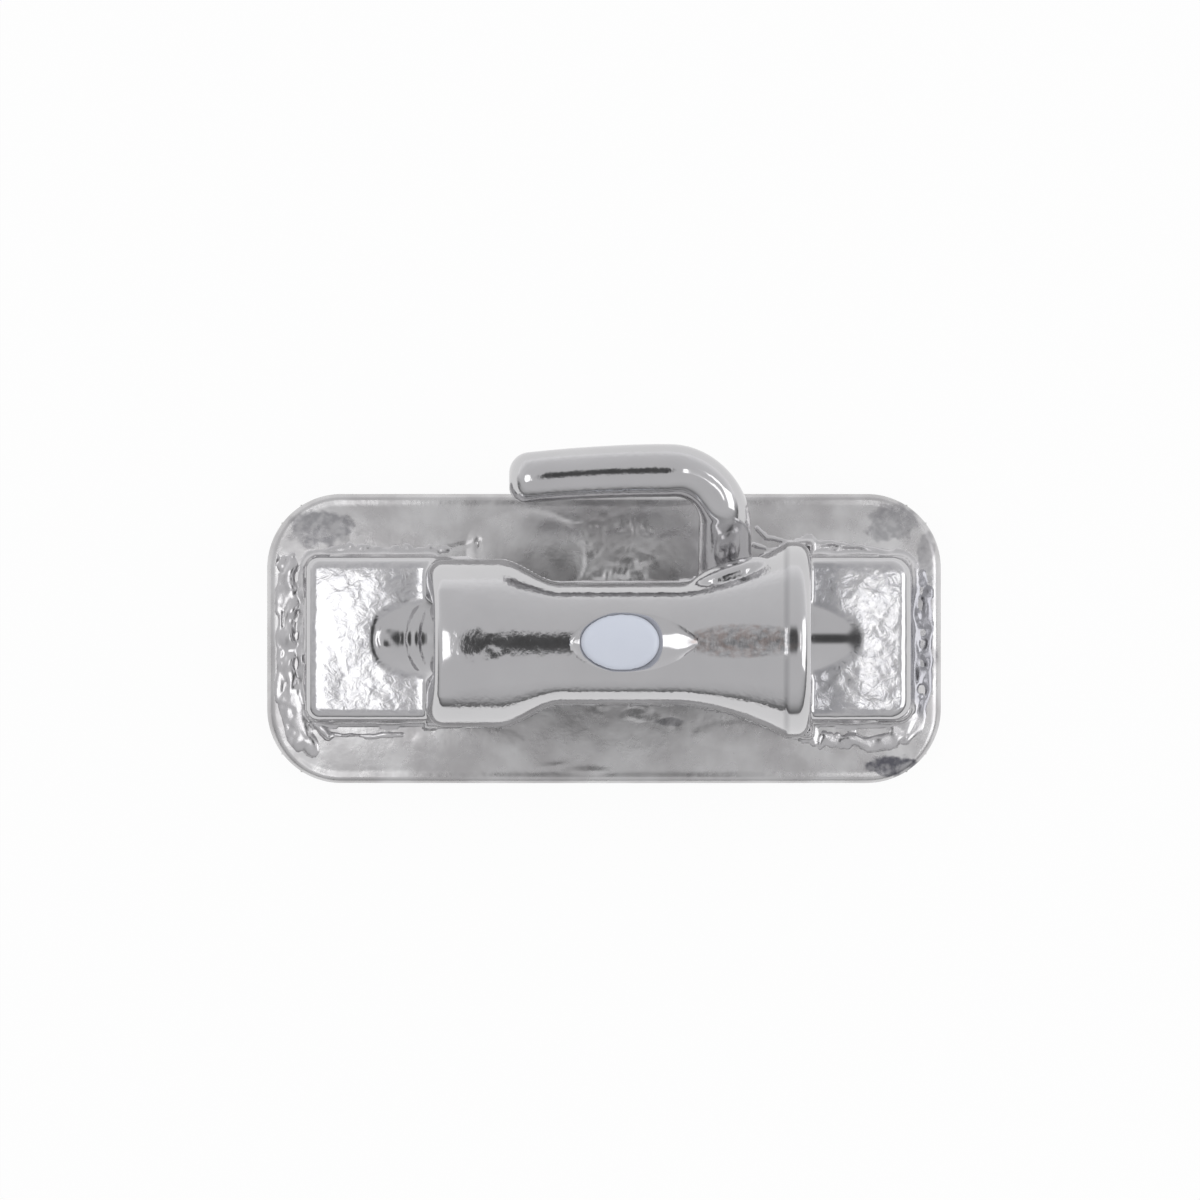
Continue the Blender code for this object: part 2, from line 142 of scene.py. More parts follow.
# Hook
HOOK_ROOT_X = 1.205
HOOK_ROOT_Y = 0.25
HOOK_STANDOFF = 1.675
HOOK_BEND = 0.53
HOOK_TIP_X = -0.945
HOOK_RADIUS = 0.267
HOOK_BEND_THINNING = 0.025
HOOK_THIN_PLACE = 0.45
HOOK_THIN_LENGTH = 0.35
HOOK_TIP_RADIUS = 0.25
HOOK_TIP_ROUNDING = 0.18
HOOK_TIP_ROLL = 0.40
HOOK_TIP_ROLL_RADIUS = 1.0
HOOK_TIP_DROP = 0.09
HOOK_ARM_HEIGHT = 1.315
HOOK_ARM_ZONE = 0.2
BEND_SLOPE = 0.24
BEND_START = -0.12
BEND_EASE = 0.3
LEG_SLOPE = 0.62
LEG_START = 0.42
LEG_EASE = 0.36
HOOK_BLEND = 0.11

# Lens on the barrel's shoulder: centre in the front view, turn in degrees, half sizes and height
LENS_CENTRE = (728, 575)
LENS_TURN = 19
LENS_SIZES = (0.42, 0.13, 0.19)
LENS_HEIGHT = 1.14
LENS_BLEND = 0.03

# Recess in the crown, a leaf that tapers towards the mesial end, and the enamel in it
RECESS_ENDS = (-0.345, 0.935)
RECESS_WIDEST = 0.17
RECESS_HALF_WIDTH = 0.30
RECESS_POINT = 0.81
RECESS_DEPTH = 0.135
RECESS_RISE_START = 0.43
RECESS_RISE_SLOPE = 0.256
RECESS_END_SLOPE = 0.135
ENAMEL_CENTRE = (0.16, -0.035)
ENAMEL_HALF_LENGTH = 0.39
ENAMEL_HALF_WIDTH = 0.287
ENAMEL_RISE = 0.015
ENAMEL_EGG_SHARE = 0.04
ENAMEL_EDGE = 0.05
ENAMEL_GAP = 0.004

# Screen
WIRE_PITCH = 0.42
WIRE_WAVE = 0.04
WIRE_HALF_WIDTH = 0.078
WIRE_HALF_HEIGHT = 0.05
WIRE_SIDES = 10
WIRE_STEPS_PER_PITCH = 10
WIRE_MARGIN = 0.06
WIRE_END_GAP = 0.004
WIRES_ACROSS = 16
WIRES_ALONG = 7

# Fineness of the meshes
BODY_STEP = 0.0255
SHEET_STEP = 0.022
BRAZE_STEP = 0.02
MARK_STEP = 0.016
PROJECTIONS = 4

# Edges between faces that meet at more than this angle, in degrees, are shaded as sharp
CAST_SHARP_ANGLE = 24
SHARP_ANGLE = 60


def place(px, py):
    """Where a point of the front view lies on the part, in millimetres."""
    return (px - VIEW_MIDDLE[0]) / PIXELS_PER_MM, (VIEW_MIDDLE[1] - py) / PIXELS_PER_MM


def drop(x, y):
    """How far the tooth face lies below its middle at this place."""
    along = TOOTH_RADIUS - np.sqrt(TOOTH_RADIUS**2 - x**2)
    across = TOOTH_RADIUS - np.sqrt(TOOTH_RADIUS**2 - y**2)
    return along + across


def smooth_step(t):
    """0 up to 0 and 1 from 1 on, with a smooth change between."""
    t = np.clip(t, 0, 1)
    return t * t * (3 - 2 * t)


def between(x, ends, eases):
    """1 between two places and 0 outside them, with a smooth change of the given length at each."""
    return smooth_step((x - ends[0]) / eases[0]) * smooth_step((ends[1] - x) / eases[1])


def lattice(cell, seed):
    """A repeatable random value from -1 to 1 for each whole-numbered cell."""
    mixed = cell[..., 0] * 374761393 + cell[..., 1] * 668265263
    mixed = mixed + cell[..., 2] * 2147483647 + seed * 1274126177
    mixed = (mixed ^ (mixed >> 13)) & 0xFFFFFFFF
    mixed = (mixed * 1274126177) & 0xFFFFFFFF
    mixed = mixed ^ (mixed >> 16)
    return (mixed & 0xFFFF) / 32767.5 - 1


def noise(points, size, seed):
    """Smooth noise with bumps of about this size."""
    scaled = points / size
    base = np.floor(scaled).astype(np.int64)
    part = scaled - base
    part = part**3 * (part * (part * 6 - 15) + 10)
    total = 0
    for corner in range(8):
        offset = np.array([corner & 1, corner >> 1 & 1, corner >> 2 & 1])
        weight = np.prod(np.where(offset, part, 1 - part), axis=-1)
        total = total + weight * lattice(base + offset, seed)
    return total


def flat_noise(x, y, size, seed):
    """Noise over the plan, on a lattice turned differently for every seed."""
    turn = 1.1 * seed
    along = x * math.cos(turn) + y * math.sin(turn)
    across = y * math.cos(turn) - x * math.sin(turn)
    return noise(np.stack([along, across, np.zeros_like(x)], -1), size, seed)


def bumps(x, y, layers):
    """Sum of noises over the plan."""
    return sum(height * flat_noise(x, y, size, seed) for height, size, seed in layers)


def round_union(a, b, radius):
    """Two solids joined with a fillet."""
    corner = np.hypot(np.maximum(radius - a, 0), np.maximum(radius - b, 0))
    return np.maximum(radius, np.minimum(a, b)) - corner


def round_common(a, b, radius):
    """What two solids share, with its edge rounded."""
    corner = np.hypot(np.maximum(radius + a, 0), np.maximum(radius + b, 0))
    return np.minimum(-radius, np.maximum(a, b)) + corner


def round_plan(x, y, low, high, half_width, corner):
    """Distance to a rectangle with round corners, seen from above."""
    away_x = np.abs(x - (low + high) / 2) - ((high - low) / 2 - corner)
    away_y = np.abs(y) - (half_width - corner)
    outside = np.hypot(np.maximum(away_x, 0), np.maximum(away_y, 0))
    return outside + np.minimum(np.maximum(away_x, away_y), 0) - corner


def barrel_half_width(x):
    shoulder = smooth_step((WAIST_START - x) / SHOULDER_LENGTH)
    flare = flare_share(x) ** FLARE_SHARPNESS
    return WAIST_HALF + shoulder * (DISTAL_HALF - WAIST_HALF) + flare * (MESIAL_HALF - WAIST_HALF)


def flare_share(x):
    """0 at the end of the waist, 1 where the mesial rim starts."""
    return np.clip((x - WAIST_END) / (MESIAL_FACE - RIM_LENGTH - WAIST_END), 0, 1)


def off_centre(x):
    """How far the barrel's axis stands off the pad's middle line."""
    share = smooth_step((x - WAIST_END) / OFF_CENTRE_EASE)
    return DISTAL_OFF_CENTRE + (MESIAL_OFF_CENTRE - DISTAL_OFF_CENTRE) * share


def barrel_section(x, y):
    """The round arch's radius at x, how far it is widened, and the place across it."""
    bead = RIM_BEAD * smooth_step((x - (MESIAL_FACE - RIM_LENGTH)) / RIM_STEP + 0.5)
    radius = DISTAL_ARCH + (MESIAL_ARCH - DISTAL_ARCH) * flare_share(x) + bead
    half = barrel_half_width(x) + bead
    power = PINCH_SHARPNESS
    widen = half * (half**-power + radius**-power) ** (1 / power)
    return radius, half, widen, (y - off_centre(x)) / widen


def barrel_field(x, y, z):
    """Distance to the barrel: a round arch, pinched to the width at x, on upright walls."""
    radius, half, widen, across = barrel_section(x, y)
    power = PINCH_SHARPNESS
    up = np.maximum(z - ARCH_CENTRE, 0)
    away = np.maximum(np.hypot(across, up), 1e-6)
    reach = (radius**-power + (np.abs(across) / away / half) ** power) ** (-1 / power)
    crown_share = np.maximum(1 - (across / CROWN_HALF_WIDTH) ** 2, 0)
    roll = np.maximum(CROWN_ROLL_START - x, 0) ** 2 / (2 * CROWN_ROLL_RADIUS) * crown_share
    rippled = between(x, CROWN_RIPPLES, CROWN_RIPPLE_EASES) * crown_share
    side = (away - reach) * widen + roll + bumps(x, y, CROWN_BUMPS) * rippled
    top_share = smooth_step((z - DISTAL_TOP) / DISTAL_TOP_EASE)
    distal_end = DISTAL_FACE - x + DISTAL_LEAN * top_share
    side = round_common(side, distal_end, DISTAL_CORNER + (DISTAL_EDGE - DISTAL_CORNER) * top_share)
    return round_common(side, x - MESIAL_FACE, MESIAL_EDGE)


def crumple(x, y):
    """Creases of the wings' thin bright skin."""
    folds = np.abs(flat_noise(x * 0.7, y, 0.13, 11)) + 0.6 * np.abs(flat_noise(x, y * 0.8, 0.08, 12))
    mesial = smooth_step((x - 2.0) / 0.1)
    rough = 1 + 1.5 * mesial * smooth_step((2.5 - x) / 0.1) * smooth_step((-0.3 - y) / 0.1)
    rough = rough + 0.5 * mesial
    return 0.0020 * folds * rough + 0.006 * flat_noise(x, y, 0.42, 13)


def wings_field(x, y, z):
    """Distance to the two wings, whose upper edge is rounded and curls up beside the distal face."""
    curl = np.maximum(WING_CURL - np.abs(x - DISTAL_FACE), 0) ** 2 / (2 * WING_CURL_RADIUS)
    creased = z + drop(x, y) - WING_TOP + crumple(x, y) - curl
    inner = (DISTAL_FACE + WING_OVERLAP, MESIAL_FACE - WING_OVERLAP)
    distal = round_plan(x, y, WING_ENDS[0], inner[0], WING_HALF_WIDTH, WING_CORNERS[0])
    mesial = round_plan(x, y, inner[1], WING_ENDS[1], WING_HALF_WIDTH, WING_CORNERS[1])
    return round_common(np.minimum(distal, mesial), creased, WING_EDGE)


def gathered(t):
    """Area under smooth_step from 0 to t."""
    inside = np.clip(t, 0, 1)
    return inside**3 - inside**4 / 2 + np.maximum(t - 1, 0)


def hook_field(x, y, z):
    """Distance to the hook: an arm along X, a quarter bend and a leg that falls to the barrel's side."""
    bend_x = HOOK_ROOT_X - HOOK_BEND
    bend_y = HOOK_STANDOFF - HOOK_BEND
    arc = HOOK_BEND * math.pi / 2
    arm = bend_x - HOOK_TIP_X
    turn = np.arctan2(np.maximum(x - bend_x, 0), np.maximum(y - bend_y, 0) + 1e-9)
    on_arm = (x < bend_x) & (y > bend_y - HOOK_ARM_ZONE)
    on_leg = (y <= bend_y) & ~on_arm
    along = np.where(on_arm, x - bend_x, turn * HOOK_BEND)
    along = np.where(on_leg, arc + bend_y - y, along)
    arm_share = np.clip(-along / arm, 0, 1)
    sideways = np.where(on_arm, y - HOOK_STANDOFF + HOOK_TIP_DROP * arm_share**2,
                        np.hypot(x - bend_x, y - bend_y) - HOOK_BEND)
    sideways = np.where(on_leg, x - HOOK_ROOT_X, sideways)
    bend_part, leg_part = (along - BEND_START) / BEND_EASE, (along - LEG_START) / LEG_EASE
    fallen = BEND_SLOPE * BEND_EASE * gathered(bend_part) + LEG_SLOPE * LEG_EASE * gathered(leg_part)
    steepness = BEND_SLOPE * smooth_step(bend_part) + LEG_SLOPE * smooth_step(leg_part)
    tip_roll = np.maximum(HOOK_TIP_X + HOOK_TIP_ROLL - x, 0) ** 2 / (2 * HOOK_TIP_ROLL_RADIUS)
    height = HOOK_ARM_HEIGHT - fallen - np.where(on_arm, tip_roll, 0)
    thinning = HOOK_BEND_THINNING * np.exp(-(((along - HOOK_THIN_PLACE) / HOOK_THIN_LENGTH) ** 2))
    radius = HOOK_RADIUS + (HOOK_TIP_RADIUS - HOOK_RADIUS) * arm_share - thinning
    tube = np.hypot(sideways, (z - height) / np.sqrt(1 + steepness**2)) - radius
    tube = round_common(tube, HOOK_TIP_X - x, HOOK_TIP_ROUNDING)
    return np.maximum(tube, HOOK_ROOT_Y - y)


def lens_field(x, y, z):
    """A long shallow lens of metal on the barrel's shoulder, under the hook's leg."""
    cx, cy = place(*LENS_CENTRE)
    turn = math.radians(LENS_TURN)
    along = (x - cx) * math.cos(turn) + (y - cy) * math.sin(turn)
    across = (y - cy) * math.cos(turn) - (x - cx) * math.sin(turn)
    length, width, thickness = LENS_SIZES
    away = np.sqrt((along / length) ** 2 + (across / width) ** 2 + ((z - LENS_HEIGHT) / thickness) ** 2)
    return (away - 1) * width


def smooth_union(a, b, reach):
    """Two solids run together like wet metal."""
    share = np.maximum(reach - np.abs(a - b), 0) / reach
    return np.minimum(a, b) - share**2 * reach / 4


def slot_field(x, y, z):
    """Distance to the archwire slot, which ends at the barrel's two faces."""
    away_y = np.abs(y) - SLOT_HALF_WIDTH
    away_z = np.abs(z - SLOT_MIDDLE) - SLOT_HALF_DEPTH
    outside = np.hypot(np.maximum(away_y, 0), np.maximum(away_z, 0))
    channel = outside + np.minimum(np.maximum(away_y, away_z), 0)
    return np.maximum(channel, np.maximum(DISTAL_FACE - x, x - MESIAL_FACE))


def mouth_field(x, y, z, mouth):
    """Distance to a bell mouth that widens from the slot to the face, then runs out over the wing."""
    face, outwards, reach, half_width, lower_half, squareness = mouth
    outside = outwards * (x - face)
    inwards = np.clip(-outside / MOUTH_LENGTH, 0, 1)
    share = (1 - inwards) ** 2
    upper = z > SLOT_MIDDLE
    half_height = np.where(upper, MOUTH_UPPER_HALF, lower_half)
    face_power = np.where(upper, MOUTH_UPPER_SQUARENESS, squareness)
    power = face_power + (THROAT_SQUARENESS - face_power) * inwards**1.5
    runout = (1 - np.clip(outside / reach, 0, 0.99) ** 6) ** 0.25
    throat = THROAT_MARGIN - 0.12 * smooth_step((inwards - 0.6) / 0.4)
    half_y = SLOT_HALF_WIDTH * throat + (half_width - SLOT_HALF_WIDTH * throat) * share
    half_z = (SLOT_HALF_DEPTH * throat + (half_height - SLOT_HALF_DEPTH * throat) * share) * runout
    away = (np.abs(y / half_y) ** power + np.abs((z - SLOT_MIDDLE) / half_z) ** power) ** (1 / power)
    rippled = smooth_step((x + 2.06) / 0.05) * smooth_step((-1.78 - x) / 0.04)
    ripples = 0.0045 * np.sin((x + 2.05 - 1.1 * y**2) / 0.0223) * rippled
    uneven = 0.004 * flat_noise(x, y, 0.07, 32) * smooth_step((-2.06 - x) / 0.05)
    inside = (away - 1) * np.minimum(half_y, half_z) + ripples + uneven
    return np.maximum(inside, -outside - MOUTH_LENGTH)


def arch_height(x, y):
    """Height of the barrel's crown surface, carried on past its sides."""
    radius, _, _, across = barrel_section(x, y)
    inside = np.maximum(radius**2 - across**2, 0.01)
    return ARCH_CENTRE + np.sqrt(inside)


def recess_field(x, y, z):
    """Distance to the leaf-shaped recess, which is deepest in its distal half."""
    distal_length = RECESS_WIDEST - RECESS_ENDS[0]
    distal = np.clip((RECESS_WIDEST - x) / distal_length, 0, 1)
    width = RECESS_HALF_WIDTH * (1 - distal**1.9) ** 0.62
    mesial = np.clip((x - RECESS_WIDEST) / RECESS_POINT, 0, 1)
    width = np.where(x > RECESS_WIDEST, RECESS_HALF_WIDTH * (1 - mesial**2.5), width)
    rise = RECESS_RISE_SLOPE * (np.clip(x, RECESS_RISE_START, WAIST_END) - RECESS_RISE_START)
    depth = RECESS_DEPTH - rise - RECESS_END_SLOPE * np.maximum(x - WAIST_END, 0)
    depth = np.minimum(depth, 0.02 + 0.27 * np.maximum(x - RECESS_ENDS[0], 0))
    depth = np.maximum(depth, 0.003)
    width = np.maximum(width, 0.02)
    across = np.abs(y - ENAMEL_CENTRE[1])
    flatness = 2 + 2 * smooth_step((x - 0.6) / 0.3)
    carved = depth * (1 - np.minimum(across / width, 3) ** flatness)
    outside = np.maximum(RECESS_ENDS[0] - x, x - RECESS_ENDS[1])
    carved = np.where(outside > 0, -outside * 2, np.maximum(carved, -0.2))
    return np.maximum((arch_height(x, y) - carved - z) * 0.8, np.abs(y) - 0.4)


def uncut_body(points):
    """Distance to the casting before the recess is sunk into its crown."""
    x, y, z = points.T
    solid = round_union(barrel_field(x, y, z), wings_field(x, y, z), WING_FILLET)
    solid = smooth_union(solid, hook_field(x, y, z), HOOK_BLEND)
    solid = smooth_union(solid, lens_field(x, y, z), LENS_BLEND)
    solid = np.maximum(solid, FOOT_BOTTOM - z - drop(x, y))
    cut = slot_field(x, y, z)
    cut = np.minimum(cut, mouth_field(x, y, z, MESIAL_MOUTH))
    cut = np.minimum(cut, mouth_field(x, y, z, DISTAL_MOUTH))
    return round_common(solid, -cut, LIP_ROUNDING)


def body_parts(points):
    """The two surfaces that meet in the recess's sharp outline."""
    return uncut_body(points), -recess_field(*points.T)


def body_field(points):
    return np.maximum(*body_parts(points))


def mark_field(points):
    """The enamel drop, whose face bulges a little over the crown and turns down at its edge."""
    x, y, z = points.T
    crown = np.hypot(y - off_centre(x), z - ARCH_CENTRE) - DISTAL_ARCH - ENAMEL_RISE
    oval_x = (x - ENAMEL_CENTRE[0]) / ENAMEL_HALF_LENGTH
    oval_y = (y - ENAMEL_CENTRE[1]) / ENAMEL_HALF_WIDTH / (1 + ENAMEL_EGG_SHARE * oval_x)
    oval = np.hypot(oval_x, oval_y)
    drop_shape = round_common(crown, (oval - 1) * ENAMEL_HALF_WIDTH, ENAMEL_EDGE)
    return np.maximum(drop_shape, recess_field(x, y, z) + ENAMEL_GAP)


def surface(field, low, high, step, parts=None):
    """Vertices and four-sided faces of the surface where the field is zero."""
    counts = [int((b - a) / step) + 2 for a, b in zip(low, high)]
    axes = [a + step * np.arange(count) for a, count in zip(low, counts)]
    values = np.empty(counts)
    for i, x in enumerate(axes[0]):
        plane = np.stack(np.meshgrid([x], axes[1], axes[2], indexing="ij"), -1)
        values[i] = field(plane.reshape(-1, 3)).reshape(counts[1:])
    inside = values < 0
    cells = np.array(counts) - 1
    total = np.zeros((cells.prod(), 3))
    hits = np.zeros(cells.prod())
    faces = []
    for axis in range(3):
        near = [slice(None)] * 3
        far = [slice(None)] * 3
        near[axis] = slice(0, -1)
        far[axis] = slice(1, None)
        crossed = np.argwhere(inside[tuple(near)] != inside[tuple(far)])
        shift = np.eye(3, dtype=int)[axis]
        start = values[tuple(crossed.T)]
        end = values[tuple((crossed + shift).T)]
        point = np.array(low) + step * (crossed + shift * (start / (start - end))[:, None])
        others = [(axis + 1) % 3, (axis + 2) % 3]
        corners = []
        for back_a, back_b in ((0, 0), (1, 0), (1, 1), (0, 1)):
            cell = crossed.copy()
            cell[:, others[0]] -= back_a
            cell[:, others[1]] -= back_b
            index = (cell[:, 0] * cells[1] + cell[:, 1]) * cells[2] + cell[:, 2]
            for k in range(3):
                total[:, k] += np.bincount(index, point[:, k], len(total))
            hits += np.bincount(index, minlength=len(hits))
            corners.append(index)
        quads = np.stack(corners, 1)
        turned = start > 0
        quads[turned] = quads[turned][:, ::-1]
        faces.append(quads)
    used = np.flatnonzero(hits)
    number = np.full(len(hits), -1)
    number[used] = np.arange(len(used))
    points = total[used] / hits[used, None]
    for _ in range(PROJECTIONS):
        points = towards_surface(field, points, step)
    if parts:
        points = towards_crease(parts, points, step)
    return points, number[np.concatenate(faces)]


def slopes(field, points, value):
    nudge = 1e-3
    return np.stack([(field(points + nudge * axis) - value) / nudge for axis in np.eye(3)], -1)


def towards_crease(parts, points, step):
    """Moves the points next to the line where two surfaces meet onto that line."""
    first, second = (lambda p: parts(p)[0]), (lambda p: parts(p)[1])
    a, b = parts(points)
    near = np.flatnonzero((np.abs(a) < 0.6 * step) & (np.abs(b) < 0.6 * step))
    start = points[near]
    moved = start.copy()
    for _ in range(5):
        a, b = parts(moved)
        slope_a, slope_b = slopes(first, moved, a), slopes(second, moved, b)
        aa, bb, ab = (slope_a**2).sum(-1), (slope_b**2).sum(-1), (slope_a * slope_b).sum(-1)
        spread = np.maximum(aa * bb - ab**2, 1e-3)
        share_a = -(a * bb - b * ab) / spread
        share_b = -(b * aa - a * ab) / spread
        moved = moved + share_a[:, None] * slope_a + share_b[:, None] * slope_b
    length = np.linalg.norm(moved - start, axis=-1)
    good = (length < 1.2 * step) & (spread > 0.03)
    points = points.copy()
    points[near[good]] = moved[good]
    return points


def towards_surface(field, points, step):
    """One step of each point along the field's slope, to where the field is zero."""
    value = field(points)
    slope = slopes(field, points, value)
    move = -slope * (value / np.maximum((slope**2).sum(-1), 0.05))[:, None]
    length = np.linalg.norm(move, axis=-1, keepdims=True)
    return points + move * np.minimum(1, 0.5 * step / np.maximum(length, 1e-9))


def add_piece(name, points, faces, node, slot, material, sharp_angle=SHARP_ANGLE):
    """Makes a smooth mesh of points in millimetres that stands for a node of the frame."""
    mesh = bpy.data.meshes.new(name)
    mesh.from_pydata((points * MM).tolist(), [], faces.tolist())
    mesh.validate()
    mesh.shade_smooth()
    mesh.set_sharp_from_angle(angle=math.radians(sharp_angle))
    mesh.materials.append(material)
    piece = bpy.data.objects.new(name, mesh)
    bpy.context.scene.collection.objects.link(piece)
    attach(piece, "root")
    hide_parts(node)


def grid_sheet(xs, ys, top, bottom, keep=None):
    """Points and faces of a closed sheet over a grid of places, without the cells that keep leaves out."""
    rows, columns = xs.shape
    upper = np.stack([xs, ys, top], -1).reshape(-1, 3)
    lower = np.stack([xs, ys, bottom], -1).reshape(-1, 3)
    points = np.concatenate([upper, lower])
    cells = np.ones((rows - 1, columns - 1), bool) if keep is None else keep
    number = np.arange(rows * columns).reshape(rows, columns)
    loop = np.stack([number[:-1, :-1], number[1:, :-1], number[1:, 1:], number[:-1, 1:]], -1)
    faces = [loop[cells], loop[cells][:, ::-1] + len(upper)]
    padded = np.pad(cells, 1)
    sides = ((0, 1, (0, -1)), (1, 2, (1, 0)), (2, 3, (0, 1)), (3, 0, (-1, 0)))
    for a, b, (di, dj) in sides:
        open_side = cells & ~padded[1 + di:rows + di, 1 + dj:columns + dj]
        edge = loop[open_side]
        first, second = edge[:, a], edge[:, b]
        faces.append(np.stack([first, first + len(upper), second + len(upper), second], -1))
    faces = np.concatenate(faces)
    used = np.unique(faces)
    renumber = np.zeros(len(points), int)
    renumber[used] = np.arange(len(used))
    return points[used], renumber[faces]


def rounded_grid(half_length, half_width, corner, step):
    """Grid places that fill a rectangle with round corners, its outer lines on the outline."""
    columns = np.linspace(-half_length, half_length, int(2 * half_length / step) + 1)
    rows = np.linspace(-half_width, half_width, int(2 * half_width / step) + 1)
    x, y = np.meshgrid(columns, rows, indexing="ij")
    over_x = np.clip((np.abs(x) - (half_length - corner)) / corner, 0, 1)
    over_y = np.clip((np.abs(y) - (half_width - corner)) / corner, 0, 1)
    pull_x = corner * over_x * (1 - np.sqrt(1 - over_y**2 / 2))
    pull_y = corner * over_y * (1 - np.sqrt(1 - over_x**2 / 2))
    return x - np.sign(x) * pull_x, y - np.sign(y) * pull_y


# Marks in the pad's skin: centre in the front view, half sizes, turn in degrees and height
PAD_MARKS = (
    (478, 545, 0.014, 0.05, 0, -0.030),
    (459, 546, 0.18, 0.012, 12, -0.014),
    (593, 526, 0.085, 0.06, 0, 0.010),
    (593, 527, 0.045, 0.03, 0, -0.016),
    (620, 528, 0.10, 0.05, 5, -0.012),
    (646, 530, 0.07, 0.04, -40, -0.012),
    (634, 526, 0.012, 0.09, 12, 0.012),
    (630, 545, 0.012, 0.07, -25, 0.010),
    (644, 553, 0.09, 0.012, -20, 0.008),
    (575, 520, 0.12, 0.012, -12, -0.010),
    (588, 545, 0.05, 0.012, -15, -0.010),
    (597, 553, 0.03, 0.015, 0, -0.008),
    (614, 562, 0.03, 0.015, 10, -0.008),
    (640, 562, 0.04, 0.015, -10, -0.008),
    (670, 719, 0.10, 0.03, -18, -0.004),
    (636, 718, 0.10, 0.012, -10, 0.008),
    (588, 771, 0.20, 0.03, 0, 0.010),
    (350, 540, 0.02, 0.10, 0, -0.006),
    (380, 556, 0.25, 0.02, 4, -0.008),
    (552, 766, 0.12, 0.02, 6, 0.008),
)

# Smooth puddles: centre in the front view, half sizes and height
PUDDLES = (
    (526, 556, 0.60, 0.46, 0.021),
    (470, 742, 0.55, 0.16, 0.006),
    (740, 735, 0.50, 0.14, 0.006),
    (676, 556, 0.26, 0.24, 0.008),
)
PUDDLE_FLATNESS = 0.4
PUDDLE_BUMPS = ((0.10, 0.3, 26),)

# Pocked places: centre in the front view, half sizes and height
POCKED = (
    (620, 546, 0.45, 0.33, 0.0028),
    (625, 709, 0.32, 0.06, 0.0042),
    (627, 576, 0.32, 0.05, 0.0042),
    (838, 741, 0.28, 0.06, 0.0042),
    (668, 722, 0.18, 0.07, 0.0016),
)
POCK_REACH = 1.6
POCK_BUMPS = ((1.0, 0.06, 27), (0.5, 0.045, 28))

# The pad's skin, which thins towards the long edges: by how much, from where, and over which width
BROAD_BUMPS = ((0.0045, 0.9, 21), (0.002, 0.4, 22))
FINE_BUMPS = ((0.0008, 0.17, 23), (0.0004, 0.08, 24))
PAD_THINNING = (0.028, 0.75, 0.65)


def dabs(x, y, marks):
    """Sum of small rounded rises and hollows."""
    total = np.zeros_like(x)
    for px, py, half_length, half_width, turn, height in marks:
        cx, cy = place(px, py)
        cosine, sine = math.cos(math.radians(turn)), math.sin(math.radians(turn))
        along = (x - cx) * cosine + (y - cy) * sine
        across = (y - cy) * cosine - (x - cx) * sine
        total += height * np.exp(-((along / half_length) ** 2) - (across / half_width) ** 2)
    return total


def pad_relief(x, y):
    """Height of the pad's uneven upper skin over its even one."""
    fine = bumps(x, y, FINE_BUMPS)
    amount, start, width = PAD_THINNING
    thinned = -amount * np.clip((np.abs(y) - start) / width, 0, 1) ** 2
    pits = bumps(x, y, POCK_BUMPS)
    for px, py, half_length, half_width, height in POCKED:
        cx, cy = place(px, py)
        away = np.hypot((x - cx) / half_length, (y - cy) / half_width)
        fine = fine + height * pits * smooth_step(POCK_REACH - away)
    relief = bumps(x, y, BROAD_BUMPS) + fine + thinned + dabs(x, y, PAD_MARKS)
    wander = 1 + bumps(x, y, PUDDLE_BUMPS)
    for px, py, half_length, half_width, rise in PUDDLES:
        cx, cy = place(px, py)
        away = (((x - cx) / half_length) ** 2 + ((y - cy) / half_width) ** 2) * wander
        relief = relief + rise * np.clip(1 - away, 0, 1) ** PUDDLE_FLATNESS
    return relief


def make_pad(material):
    """The bent sheet, with a rounded upper edge."""
    x, y = rounded_grid(PAD_HALF_LENGTH, PAD_HALF_WIDTH, PAD_CORNER, SHEET_STEP)
    inset = -round_plan(x, y, -PAD_HALF_LENGTH, PAD_HALF_LENGTH, PAD_HALF_WIDTH, PAD_CORNER)
    rim = PAD_EDGE - np.sqrt(np.maximum(PAD_EDGE**2 - np.maximum(PAD_EDGE - inset, 0) ** 2, 0))
    level = FOIL_TOP - drop(x, y) + pad_relief(x, y) * smooth_step(inset / PAD_RIM_WIDTH)
    sheet = grid_sheet(x, y, level - rim, FOIL_BOTTOM - drop(x, y))
    add_piece("pad_sheet", *sheet, "base_pad", "pad_steel", material)


# Ropes of alloy: path in the front view, half width, height, wander
ROPES = (
    (((281, 575), (279, 630), (280, 690), (286, 722), (297, 741)), 0.045, 0.012, 0.020),
    (((292, 556), (290, 600), (289, 650), (290, 690), (294, 715), (305, 736)), 0.062, 0.036, 0.030),
    (((303, 592), (302, 650), (303, 700), (312, 723), (328, 737)), 0.036, 0.034, 0.016),
    (((913, 562), (918, 610), (918, 680), (912, 714), (896, 731)), 0.036, 0.019, 0.018),
    (((925, 575), (928, 630), (927, 690), (917, 724), (905, 738)), 0.045, 0.010, 0.022),
    (((850, 741), (868, 742), (888, 742), (904, 733), (913, 716)), 0.070, 0.024, 0.020),
    (((797, 544), (830, 542), (862, 547), (905, 556), (915, 568)), 0.028, 0.018, 0.014),
    (((757, 528), (766, 538), (782, 541), (800, 543)), 0.022, 0.012, 0.008),
    (((754, 545), (768, 549), (790, 546)), 0.020, 0.010, 0.006),
    (((316, 554), (350, 549), (400, 551), (446, 548)), 0.028, 0.010, 0.020),
    (((322, 734), (360, 736), (402, 735)), 0.022, 0.006, 0.010),
)

